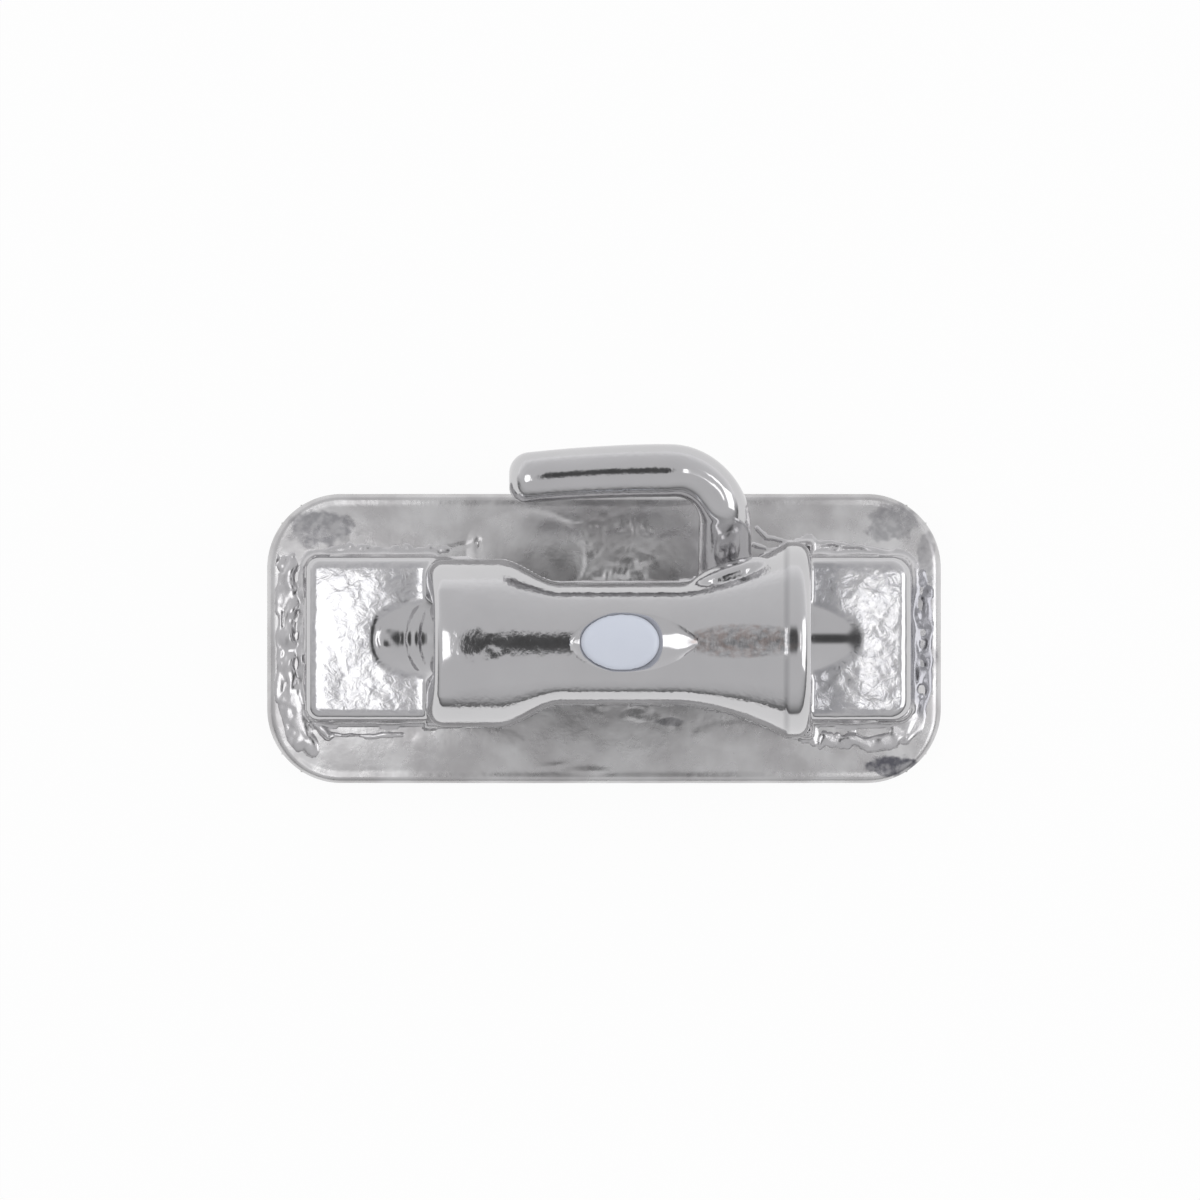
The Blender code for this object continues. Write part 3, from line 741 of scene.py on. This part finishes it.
# Runs of beads: path in the front view, number of beads, spread, smallest and largest radius
BEAD_RUNS = (
    (((284, 555), (286, 600), (286, 650), (286, 700), (294, 735)), 26, 0.040, 0.03, 0.07),
    (((298, 695), (294, 715), (300, 735), (316, 741)), 12, 0.025, 0.06, 0.10),
    (((912, 556), (922, 600), (924, 650), (922, 700), (912, 728)), 22, 0.050, 0.02, 0.05),
    (((812, 739), (840, 742), (866, 744), (885, 740), (905, 728)), 26, 0.028, 0.02, 0.05),
    (((796, 548), (830, 544), (862, 549), (905, 557)), 20, 0.014, 0.015, 0.03),
    (((312, 552), (345, 545), (380, 549), (420, 552), (446, 549)), 18, 0.022, 0.015, 0.035),
)


def rope_height(x, y, path, half_width, height, wander, seed):
    """Height of one rope, whose width, height and course change along it."""
    corners = [place(*point) for point in path]
    nearest = np.full_like(x, 1e3)
    side = np.zeros_like(x)
    along = np.zeros_like(x)
    run = 0.0
    for (ax, ay), (bx, by) in zip(corners, corners[1:]):
        length = math.hypot(bx - ax, by - ay)
        ux, uy = (bx - ax) / length, (by - ay) / length
        share = np.clip((x - ax) * ux + (y - ay) * uy, 0, length)
        away = np.hypot(x - ax - share * ux, y - ay - share * uy)
        across = (y - ay) * ux - (x - ax) * uy
        closer = away < nearest
        nearest = np.where(closer, away, nearest)
        side = np.where(closer, np.sign(across) * away, side)
        along = np.where(closer, run + share, along)
        run += length
    zero = np.zeros_like(x)
    course = wander * flat_noise(along, zero, 0.16, seed)
    course = course + 0.4 * wander * flat_noise(along, zero, 0.07, seed + 1)
    width = half_width * (1 + 0.45 * flat_noise(along, zero, 0.13, seed + 2))
    peak = height * (0.85 + 0.5 * flat_noise(along, zero, 0.11, seed + 3))
    return np.maximum(peak * (1 - np.abs((side - course) / width) ** 3), -0.05)


def run_beads(x, y):
    """Height of the solidified ropes and beads."""
    dice = np.random.default_rng(7)
    total = np.full_like(x, -0.05)
    for index, (path, half_width, height, wander) in enumerate(ROPES):
        total = np.maximum(total, rope_height(x, y, path, half_width, height, wander, 50 + 5 * index))
    for path, count, spread, smallest, largest in BEAD_RUNS:
        corners = np.array([place(*point) for point in path])
        lengths = np.concatenate([[0], np.cumsum(np.linalg.norm(np.diff(corners, axis=0), axis=1))])
        stops = np.sort(dice.uniform(0, lengths[-1], count))
        for stop in stops:
            cx = np.interp(stop, lengths, corners[:, 0]) + dice.normal(0, spread)
            cy = np.interp(stop, lengths, corners[:, 1]) + dice.normal(0, spread)
            radius = dice.uniform(smallest, largest)
            stretch = dice.uniform(1.0, 1.9)
            turn = dice.uniform(-0.6, 0.6) + math.pi / 2 * (largest > 0.045)
            along = ((x - cx) * math.cos(turn) + (y - cy) * math.sin(turn)) / stretch
            across = (y - cy) * math.cos(turn) - (x - cx) * math.sin(turn)
            bead = radius * 0.32 * (1 - ((along**2 + across**2) / radius**2) ** 1.6)
            total = np.maximum(total, np.maximum(bead, -0.05))
    return total


def make_braze(material):
    """The once molten alloy: a hollow fillet around the foot, and ropes and runs of beads beside it."""
    x, y = rounded_grid(PAD_HALF_LENGTH - 0.07, PAD_HALF_WIDTH - 0.1, PAD_CORNER, BRAZE_STEP)
    wings = round_plan(x, y, WING_ENDS[0], WING_ENDS[1], WING_HALF_WIDTH, WING_CORNERS[0])
    barrel = np.abs(y - off_centre(x)) - barrel_half_width(x)
    within = np.maximum(DISTAL_FACE - x, x - MESIAL_FACE)
    wings = np.where(within < -0.1, 1.0, wings)
    barrel = np.where(within < 0, barrel, np.hypot(np.maximum(barrel, 0), within))
    foot = np.minimum(wings, barrel)
    along_barrel = smooth_step((x - DISTAL_FACE) / 0.2) * smooth_step((MESIAL_FACE - x) / 0.2)
    hollow = (0.085 - 0.05 * along_barrel) * (1 + 0.3 * flat_noise(x, y, 0.2, 34))
    fillet = hollow - np.sqrt(np.maximum(hollow**2 - np.maximum(hollow - foot, 0) ** 2, 0))
    fillet = np.where(foot < hollow, fillet, -0.03)
    height = np.maximum(fillet, run_beads(x, y))
    rough = 0.003 * flat_noise(x, y, 0.1, 33) * (height > 0)
    top = FOIL_TOP - drop(x, y) + height + rough
    bottom = FOIL_TOP - 0.035 - drop(x, y)
    top = np.maximum(top, bottom + 0.002)
    middle = np.minimum(foot[:-1, :-1], foot[1:, 1:])
    corners = (height[:-1, :-1], height[1:, 1:], height[1:, :-1], height[:-1, 1:])
    keep = (middle > -0.04) & (np.maximum.reduce(corners) > -0.004)
    sheet = grid_sheet(x, y, top, bottom, keep)
    add_piece("braze_run", *sheet, "braze_fillet", "braze_alloy", material)


def woven_wire(course, low, high, phase, flat):
    """One wire of the screen. Course is +1 along X and -1 along Y, and flat is its place across."""
    count = int((high - low) / WIRE_PITCH * WIRE_STEPS_PER_PITCH)
    along = np.linspace(low, high, count)
    centre = SCREEN_THICKNESS / 2 + WIRE_WAVE * np.cos(math.pi * along / WIRE_PITCH + phase)
    turns = 2 * math.pi * np.arange(WIRE_SIDES) / WIRE_SIDES
    across = flat + WIRE_HALF_WIDTH * np.cos(turns)
    a = np.repeat(along[:, None], WIRE_SIDES, 1)
    b = np.repeat(across[None, :], count, 0)
    x, y = (a, b) if course > 0 else (b, a)
    z = centre[:, None] + WIRE_HALF_HEIGHT * np.sin(turns)[None, :] - drop(x, y)
    points = np.stack([x, y, z], -1).reshape(-1, 3)
    number = np.arange(count * WIRE_SIDES).reshape(count, WIRE_SIDES)
    following = np.roll(number, -1, 1)
    faces = np.stack([number[:-1], number[1:], following[1:], following[:-1]], -1).reshape(-1, 4)
    return points, faces, number[0], number[-1]


def make_screen(material):
    """Wires along both ways, cut to the pad's outline and waving over and under each other."""
    points, faces = [], []
    total = 0
    lines = [(-1, (k - (WIRES_ACROSS - 1) / 2) * WIRE_PITCH, k + 1.0) for k in range(WIRES_ACROSS)]
    lines += [(1, (k - (WIRES_ALONG - 1) / 2) * WIRE_PITCH, k + 0.5) for k in range(WIRES_ALONG)]
    for course, flat, half_turns in lines:
        far, near = (PAD_HALF_LENGTH, PAD_HALF_WIDTH) if course > 0 else (PAD_HALF_WIDTH, PAD_HALF_LENGTH)
        over = max(abs(flat) + WIRE_MARGIN - (near - PAD_CORNER), 0)
        reach = far - PAD_CORNER + math.sqrt(PAD_CORNER**2 - over**2) - WIRE_END_GAP
        wire, sides, first, last = woven_wire(course, -reach, reach, math.pi * half_turns, flat)
        points.append(wire)
        faces += (sides + total).tolist()
        faces.append((first + total).tolist())
        faces.append((last[::-1] + total).tolist())
        total += len(wire)
    mesh = bpy.data.meshes.new("woven_screen")
    mesh.from_pydata((np.concatenate(points) * MM).tolist(), [], faces)
    mesh.validate()
    mesh.shade_smooth()
    mesh.materials.append(material)
    piece = bpy.data.objects.new("woven_screen", mesh)
    bpy.context.scene.collection.objects.link(piece)
    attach(piece, "root")
    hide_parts("bonding_screen")


# Most of a noise node's values lie in this range
NOISE_RANGE = (0.3, 0.7)

# A patch fades out between these distances from its middle
PATCH_FADE = (0.80, 1.10)


class Surface:
    """A material under construction, with short ways to add the nodes that every finish needs."""

    def __init__(self, name):
        self.material = bpy.data.materials.new(name)
        self.material.use_nodes = True
        self.nodes = self.material.node_tree.nodes
        self.links = self.material.node_tree.links
        self.shader = self.nodes["Principled BSDF"]
        self.place = self.nodes.new("ShaderNodeTexCoord").outputs["Object"]
        self.parts = self.nodes.new("ShaderNodeSeparateXYZ")
        self.links.new(self.place, self.parts.inputs[0])
        self.relief = None

    def grain(self, size, detail=3, distortion=0.0, stretch=(1, 1, 1)):
        """Noise with features of this size in millimetres."""
        mapping = self.nodes.new("ShaderNodeMapping")
        mapping.inputs["Scale"].default_value = [1 / (size * MM * part) for part in stretch]
        made = self.nodes.new("ShaderNodeTexNoise")
        made.inputs["Scale"].default_value = 1
        made.inputs["Detail"].default_value = detail
        made.inputs["Distortion"].default_value = distortion
        self.links.new(self.place, mapping.inputs["Vector"])
        self.links.new(mapping.outputs[0], made.inputs["Vector"])
        return made.outputs["Fac"]

    def span(self, value, start, end, low=0.0, high=1.0):
        """The value moved from one range to another, smoothly."""
        made = self.nodes.new("ShaderNodeMapRange")
        made.interpolation_type = "SMOOTHSTEP"
        made.inputs["From Min"].default_value = start
        made.inputs["From Max"].default_value = end
        made.inputs["To Min"].default_value = low
        made.inputs["To Max"].default_value = high
        self.links.new(value, made.inputs["Value"])
        return made.outputs["Result"]

    def varied(self, grain, low=0.0, high=1.0):
        """The grain's values spread from low to high."""
        return self.span(grain, *NOISE_RANGE, low, high)

    def past(self, axis, start, end):
        """0 up to one place on an axis and 1 from another on, in millimetres."""
        return self.span(self.parts.outputs[axis], start * MM, end * MM)

    def combine(self, operation, first, second):
        made = self.nodes.new("ShaderNodeMath")
        made.operation = operation
        for socket, value in zip(made.inputs, (first, second)):
            if isinstance(value, (int, float)):
                socket.default_value = value
            else:
                self.links.new(value, socket)
        return made.outputs[0]

    def times(self, first, second):
        return self.combine("MULTIPLY", first, second)

    def unbent(self):
        """Height over the tooth face, as before the part was bent to it."""
        length = self.nodes.new("ShaderNodeVectorMath")
        length.operation = "DOT_PRODUCT"
        flat = self.nodes.new("ShaderNodeVectorMath")
        flat.operation = "MULTIPLY"
        flat.inputs[1].default_value = (1, 1, 0)
        self.links.new(self.place, flat.inputs[0])
        self.links.new(flat.outputs[0], length.inputs[0])
        self.links.new(flat.outputs[0], length.inputs[1])
        fallen = self.times(length.outputs["Value"], 1 / (2 * TOOTH_RADIUS * MM))
        return self.combine("ADD", self.parts.outputs["Z"], fallen)

    def patch(self, px, py, half_length, half_width, ragged, size=0.15):
        """1 inside a patch with a ragged edge, centred on a point of the front view."""
        cx, cy = place(px, py)
        mapping = self.nodes.new("ShaderNodeMapping")
        mapping.inputs["Location"].default_value = (-cx / half_length, -cy / half_width, 0)
        mapping.inputs["Scale"].default_value = (1 / (half_length * MM), 1 / (half_width * MM), 0)
        length = self.nodes.new("ShaderNodeVectorMath")
        length.operation = "LENGTH"
        self.links.new(self.place, mapping.inputs["Vector"])
        self.links.new(mapping.outputs[0], length.inputs[0])
        wander = self.times(self.grain(size, 6), ragged * 2)
        away = self.combine("ADD", length.outputs["Value"], wander)
        return self.span(away, PATCH_FADE[0] + ragged, PATCH_FADE[1] + ragged, 1.0, 0.0)

    def blend(self, share, first, second):
        """A colour that goes from the first to the second as the share goes from 0 to 1."""
        made = self.nodes.new("ShaderNodeMix")
        made.data_type = "RGBA"
        self.links.new(share, made.inputs["Factor"])
        for socket, value in (("A", first), ("B", second)):
            if isinstance(value, tuple):
                made.inputs[socket].default_value = (*value, 1)
            else:
                self.links.new(value, made.inputs[socket])
        return made.outputs["Result"]

    def emboss(self, value, height, strength):
        """Adds relief of this height in millimetres, on top of what is there."""
        made = self.nodes.new("ShaderNodeBump")
        made.inputs["Distance"].default_value = height * MM
        if isinstance(strength, float):
            made.inputs["Strength"].default_value = strength
        else:
            self.links.new(strength, made.inputs["Strength"])
        self.links.new(value, made.inputs["Height"])
        if self.relief:
            self.links.new(self.relief, made.inputs["Normal"])
        self.relief = made.outputs["Normal"]

    def finish(self, colour, roughness, metallic):
        self.shader.inputs["Metallic"].default_value = metallic
        self.links.new(colour, self.shader.inputs["Base Color"])
        self.links.new(roughness, self.shader.inputs["Roughness"])
        self.links.new(self.relief, self.shader.inputs["Normal"])
        return self.material


# Colours of the finishes
CAST_STEEL = ((0.55, 0.545, 0.555), (0.62, 0.615, 0.625))
# Painted shade for the wings' creases
CREASE_PAINTED_SHADE = (0.40, 0.40, 0.43)
# Painted shadow in the step at the mesial rim
RIM_PAINTED_SHADOW = (0.30, 0.30, 0.31)
# Painted shade on the mesial wing beside the rim
PAINTED_WING_SHADE = (0.30, 0.30, 0.32)
# Painted reflection of the dark overhead along the crown, dark grey to brown
CROWN_REFLECTION_TINTS = ((0.22, 0.22, 0.23), (0.31, 0.24, 0.22))
ROLLED_STEEL = ((0.49, 0.480, 0.485), (0.63, 0.625, 0.63))
# Painted dark reflections and shade on the pad
PAINTED_DARK_COLOUR = (0.10, 0.10, 0.12)
ALLOY = ((0.50, 0.495, 0.505), (0.64, 0.63, 0.64))
# Painted shade on the alloy at the mesial end
ALLOY_PAINTED_SHADE = (0.26, 0.26, 0.29)
WIRE_STEEL = ((0.42, 0.42, 0.42), (0.54, 0.53, 0.52))
ENAMEL = ((0.70, 0.74, 0.84), (0.75, 0.79, 0.88))

# Where the casting's finish changes along an axis, each as the start and end of a change
WING_SKINS = ((-1.79, -1.83), (2.07, 2.11))
WING_SKIN_LEVEL = (0.680, 0.692)
# Span of the painted shadow line in the step where the mesial rim begins
RIM_SHADOW_LINE = ((1.770, 1.815), (1.870, 1.815))
# Span of the painted shade on the mesial wing next to the rim
SHADED_WING_SPANS = ((2.50, 2.20), (2.04, 2.08))
GRAINED_BARREL = ((-1.56, -1.48), (1.86, 1.78))
# Height band of the painted reflection on the crown
CROWN_REFLECTION_LEVEL = (1.25, 1.35)

# Patches: centre in the front view, half sizes, raggedness and, for the first, the size of its bumps
# The crown patch is a painted dark reflection of the overhead, tinted brown
CROWN_PAINTED_REFLECTION = (742, 641, 0.58, 0.17, 0.15, 0.08)
SHELTERED = ((632, 642, 0.62, 0.33, 0.0), (712, 496, 0.50, 0.45, 0.0))
# Patch of painted shade on the alloy at the mesial end
MESIAL_ALLOY_SHADE_PATCH = (926, 640, 0.22, 0.80, 0.3)


def cast_colour(made, on_wings):
    """Steel with painted shade in the wings' creases, a painted shadow line at the rim and painted shade
    on the wing beside it.
    """
    colour = made.blend(made.grain(0.5, 4), *CAST_STEEL)
    # Painted shade: the wings are darkened in a crinkled pattern, as in their creases
    crease_shade = made.varied(made.grain(0.10, 5, 0.8, (1.0, 0.7, 1.0)), 0.0, 0.40)
    colour = made.blend(made.times(crease_shade, on_wings), colour, CREASE_PAINTED_SHADE)
    # Painted shadow: a thin darker line in the step where the mesial rim begins
    rim = made.times(made.past("X", *RIM_SHADOW_LINE[0]), made.past("X", *RIM_SHADOW_LINE[1]))
    colour = made.blend(made.times(rim, 0.45), colour, RIM_PAINTED_SHADOW)
    # Painted shade: the mesial wing is darkened next to the rim
    painted_wing_shade = made.times(made.past("X", *SHADED_WING_SPANS[0]), made.past("X", *SHADED_WING_SPANS[1]))
    painted_wing_shade = made.times(on_wings, painted_wing_shade)
    return made.blend(made.times(painted_wing_shade, 0.6), colour, PAINTED_WING_SHADE)


def polished_steel():
    """Bright cast steel: grained on the barrel, crinkled on the wings, with a painted dark reflection of
    the overhead along the crown, tinted brown.
    """
    made = Surface("polished_steel")
    on_wings = made.combine("MAXIMUM", made.past("X", *WING_SKINS[0]), made.past("X", *WING_SKINS[1]))
    on_wings = made.times(on_wings, made.span(made.unbent(), *(level * MM for level in WING_SKIN_LEVEL)))
    colour = cast_colour(made, on_wings)
    # Painted reflection: the crown is darkened and browned where it mirrors the dark overhead
    painted_dark_patch = made.times(made.patch(*CROWN_PAINTED_REFLECTION), made.past("Z", *CROWN_REFLECTION_LEVEL))
    speckle = made.varied(made.grain(0.05, 4, 0.0, (1.6, 1.0, 1.0)), 0.15, 0.70)
    reflection_tint = made.blend(made.span(made.grain(0.10), 0.4, 0.6), *CROWN_REFLECTION_TINTS)
    colour = made.blend(made.times(painted_dark_patch, speckle), colour, reflection_tint)
    roughness = made.varied(made.grain(0.2), 0.09, 0.14)
    roughness = made.combine("ADD", roughness, made.times(on_wings, 0.03))
    roughness = made.combine("ADD", roughness, made.times(painted_dark_patch, 0.10))
    inner = made.times(made.past("X", *GRAINED_BARREL[0]), made.past("X", *GRAINED_BARREL[1]))
    sheltered = made.combine("MAXIMUM", made.patch(*SHELTERED[0]), made.patch(*SHELTERED[1]))
    grained = made.times(inner, made.combine("SUBTRACT", 1.0, sheltered))
    grained = made.times(grained, made.span(painted_dark_patch, 0.0, 1.0, 0.8, 0.45))
    made.emboss(made.grain(0.05, 3, 0.0, (1.0, 1.7, 1.0)), 0.0040, grained)
    made.emboss(made.grain(0.11, 5, 1.0, (1.0, 0.8, 1.0)), 0.0031, on_wings)
    return made.finish(colour, roughness, 1.0)


# Painted dark reflections and shade on the pad: centre in the front view, half sizes and depth of colour
PAD_PAINTED_DARK_PATCHES = (
    (318, 526, 0.34, 0.20, 0.55),
    (894, 524, 0.26, 0.20, 0.45),
    (926, 610, 0.11, 0.85, 0.40),
    (893, 766, 0.25, 0.12, 0.95),
    (670, 722, 0.16, 0.045, 0.55),
)


def pad_steel():
    """Duller rolled steel, clouded, with painted dark reflections and painted shade."""
    made = Surface("pad_steel")
    colour = made.blend(made.varied(made.grain(0.40, 6)), *ROLLED_STEEL)
    mottle = made.span(made.grain(0.07, 5), 0.35, 0.65, 0.55, 1.0)
    for px, py, half_length, half_width, depth in PAD_PAINTED_DARK_PATCHES:
        # Painted dark reflections and shade, broken up by the mottle
        painted_dark_patch = made.times(made.patch(px, py, half_length, half_width, 0.9, 0.2), mottle)
        colour = made.blend(made.times(painted_dark_patch, depth), colour, PAINTED_DARK_COLOUR)
    roughness = made.varied(made.grain(0.25, 4), 0.24, 0.34)
    made.emboss(made.grain(0.065, 5), 0.0036, 0.5)
    return made.finish(colour, roughness, 1.0)


def braze_alloy():
    """Bright alloy, with painted shade that darkens it at the mesial end."""
    made = Surface("braze_alloy")
    colour = made.blend(made.grain(0.2, 4), *ALLOY)
    # Painted shade: the alloy is darkened at the mesial end
    colour = made.blend(made.times(made.patch(*MESIAL_ALLOY_SHADE_PATCH), 0.75), colour, ALLOY_PAINTED_SHADE)
    roughness = made.varied(made.grain(0.12), 0.16, 0.28)
    made.emboss(made.grain(0.05), 0.003, 0.5)
    return made.finish(colour, roughness, 1.0)


def screen_steel():
    """Matt grey wire."""
    made = Surface("screen_steel")
    colour = made.blend(made.grain(0.15, 4), *WIRE_STEEL)
    roughness = made.varied(made.grain(0.08), 0.30, 0.45)
    made.emboss(made.grain(0.03, 3, 0.0, (6, 1, 1)), 0.002, 0.5)
    return made.finish(colour, roughness, 1.0)


def white_enamel():
    """Faintly blue white, with a satin face."""
    made = Surface("white_enamel")
    colour = made.blend(made.grain(0.3), *ENAMEL)
    roughness = made.varied(made.grain(0.1), 0.28, 0.38)
    made.emboss(made.grain(0.08, 2), 0.0015, 0.4)
    return made.finish(colour, roughness, 0.0)


# Camera and floor, in millimetres
CAMERA_DISTANCE = 300
CAMERA_PLACE = (-0.04, 0.385)
CAMERA_CLIPS = (10, 2000)
SENSOR_WIDTH = 36
FLOOR_HALF_SIZE = 400
FLOOR_GAP = 0.003

# Floor's grey under the lamps, and the share of plain white in what the camera and reflections see
FLOOR_GREY = 0.9
FLOOR_WHITE_SHARE = 0.95

# Sky's brightness from the horizon up to straight overhead, on the side of +Y and of -Y
FAR_SKY = ((0.0, 1.1), (0.15, 0.98), (0.4, 0.80), (0.75, 0.73), (0.966, 0.70), (0.986, 0.11), (1.0, 0.08))
NEAR_SKY = ((0.0, 0.12), (0.08, 0.20), (0.2, 0.42), (0.35, 0.62), (0.6, 0.69), (0.966, 0.68),
            (0.986, 0.11), (1.0, 0.08))
SKY_CHANGE = 0.25
SKY_BLUENESS = 1.01

# Lamps: name, tilt from overhead, turn around the part, width and length in degrees, and radiance
SOFT_BOXES = (
    ("right_box", 28.6, -2, 5.0, 16, 1.7),
    ("right_wall", 58, -4, 28, 40, 1.5),
    ("left_box", 31, 184, 14, 24, 1.6),
)
LAMP_DISTANCE = 120


def make_camera():
    """Straight above, far enough off to see the part nearly without perspective."""
    data = bpy.data.cameras.new("camera")
    camera = bpy.data.objects.new("camera", data)
    bpy.context.scene.collection.objects.link(camera)
    distance = CAMERA_DISTANCE * MM
    data.sensor_width = SENSOR_WIDTH
    data.lens = SENSOR_WIDTH * distance / (VIEW_WIDTH * MM)
    data.clip_start, data.clip_end = [clip * MM for clip in CAMERA_CLIPS]
    camera.location = (CAMERA_PLACE[0] * MM, CAMERA_PLACE[1] * MM, distance)
    bpy.context.scene.camera = camera


def floor_material():
    """Pale and matt under the lamps, and nearly white to the camera and in reflections."""
    made = bpy.data.materials.new("floor_white")
    made.use_nodes = True
    nodes, links = made.node_tree.nodes, made.node_tree.links
    nodes.remove(nodes["Principled BSDF"])
    matt = nodes.new("ShaderNodeBsdfDiffuse")
    matt.inputs["Color"].default_value = (FLOOR_GREY, FLOOR_GREY, FLOOR_GREY, 1)
    glow = nodes.new("ShaderNodeEmission")
    rays = nodes.new("ShaderNodeLightPath")
    seen = rays.outputs["Is Camera Ray"]
    for kind in ("Is Glossy Ray", "Is Transmission Ray"):
        either = nodes.new("ShaderNodeMath")
        either.operation = "MAXIMUM"
        links.new(seen, either.inputs[0])
        links.new(rays.outputs[kind], either.inputs[1])
        seen = either.outputs[0]
    share = nodes.new("ShaderNodeMath")
    share.operation = "MULTIPLY"
    share.inputs[1].default_value = FLOOR_WHITE_SHARE
    mix = nodes.new("ShaderNodeMixShader")
    links.new(seen, share.inputs[0])
    links.new(share.outputs[0], mix.inputs[0])
    links.new(matt.outputs[0], mix.inputs[1])
    links.new(glow.outputs[0], mix.inputs[2])
    links.new(mix.outputs[0], nodes["Material Output"].inputs["Surface"])
    return made


def make_floor():
    """A wide sheet just under the part."""
    size = FLOOR_HALF_SIZE * MM
    level = CAD_BOX[0][2] - FLOOR_GAP * MM
    corners = [(-size, -size, level), (size, -size, level), (size, size, level), (-size, size, level)]
    mesh = bpy.data.meshes.new("floor")
    mesh.from_pydata(corners, [], [(0, 1, 2, 3)])
    mesh.materials.append(floor_material())
    floor = bpy.data.objects.new("floor", mesh)
    bpy.context.scene.collection.objects.link(floor)


def ramp(nodes, stops):
    """A colour ramp through these places and values."""
    made = nodes.new("ShaderNodeValToRGB")
    elements = made.color_ramp.elements
    for index, (where, value) in enumerate(stops):
        element = elements[index] if index < 2 else elements.new(where)
        element.position = where
        element.color = (value, value, value * SKY_BLUENESS, 1)
    return made


def make_world():
    """A pale tent, darker overhead where the camera looks in and along the nearer horizon."""
    world = bpy.data.worlds.new("tent")
    bpy.context.scene.world = world
    world.use_nodes = True
    nodes, links = world.node_tree.nodes, world.node_tree.links
    direction = nodes.new("ShaderNodeTexCoord")
    parts = nodes.new("ShaderNodeSeparateXYZ")
    links.new(direction.outputs["Generated"], parts.inputs[0])
    far, near = ramp(nodes, FAR_SKY), ramp(nodes, NEAR_SKY)
    side = nodes.new("ShaderNodeMapRange")
    side.inputs["From Min"].default_value = -SKY_CHANGE
    side.inputs["From Max"].default_value = SKY_CHANGE
    links.new(parts.outputs["Y"], side.inputs["Value"])
    dome = nodes.new("ShaderNodeMix")
    dome.data_type = "RGBA"
    for made in (far, near):
        links.new(parts.outputs["Z"], made.inputs["Fac"])
    links.new(side.outputs["Result"], dome.inputs["Factor"])
    links.new(near.outputs["Color"], dome.inputs["A"])
    links.new(far.outputs["Color"], dome.inputs["B"])
    links.new(dome.outputs["Result"], nodes["Background"].inputs["Color"])


def soft_box(name, tilt, turn, width, length, radiance):
    """A flat lamp on a circle around the part, tilted from straight above and turned around it."""
    distance = LAMP_DISTANCE * MM
    light = bpy.data.lights.new(name, "AREA")
    light.shape = "RECTANGLE"
    light.size = distance * math.radians(width)
    light.size_y = distance * math.radians(length)
    light.energy = radiance * math.pi * light.size * light.size_y
    lamp = bpy.data.objects.new(name, light)
    bpy.context.scene.collection.objects.link(lamp)
    tilt, turn = math.radians(tilt), math.radians(turn)
    out = distance * math.sin(tilt)
    lamp.rotation_euler = (0, tilt, turn)
    lamp.location = (out * math.cos(turn), out * math.sin(turn), distance * math.cos(tilt))


# Boxes that hold the casting and the enamel drop
CAST_LIMITS = ((-3.1, -1.1, -0.2), (3.2, 2.1, 1.8))
MARK_LIMITS = ((-0.35, -0.40, 1.25), (0.65, 0.35, 1.6))

make_camera()
make_world()
make_floor()
for box in SOFT_BOXES:
    soft_box(*box)

body = surface(body_field, *CAST_LIMITS, BODY_STEP, body_parts)
add_piece("cast_tube", *body, "tube_body", "polished_steel", polished_steel(), CAST_SHARP_ANGLE)
mark = surface(mark_field, *MARK_LIMITS, MARK_STEP)
add_piece("enamel_drop", *mark, "colour_mark", "white_enamel", white_enamel())
make_pad(pad_steel())
make_braze(braze_alloy())
make_screen(screen_steel())

bpy.context.scene.view_settings.view_transform = "Standard"
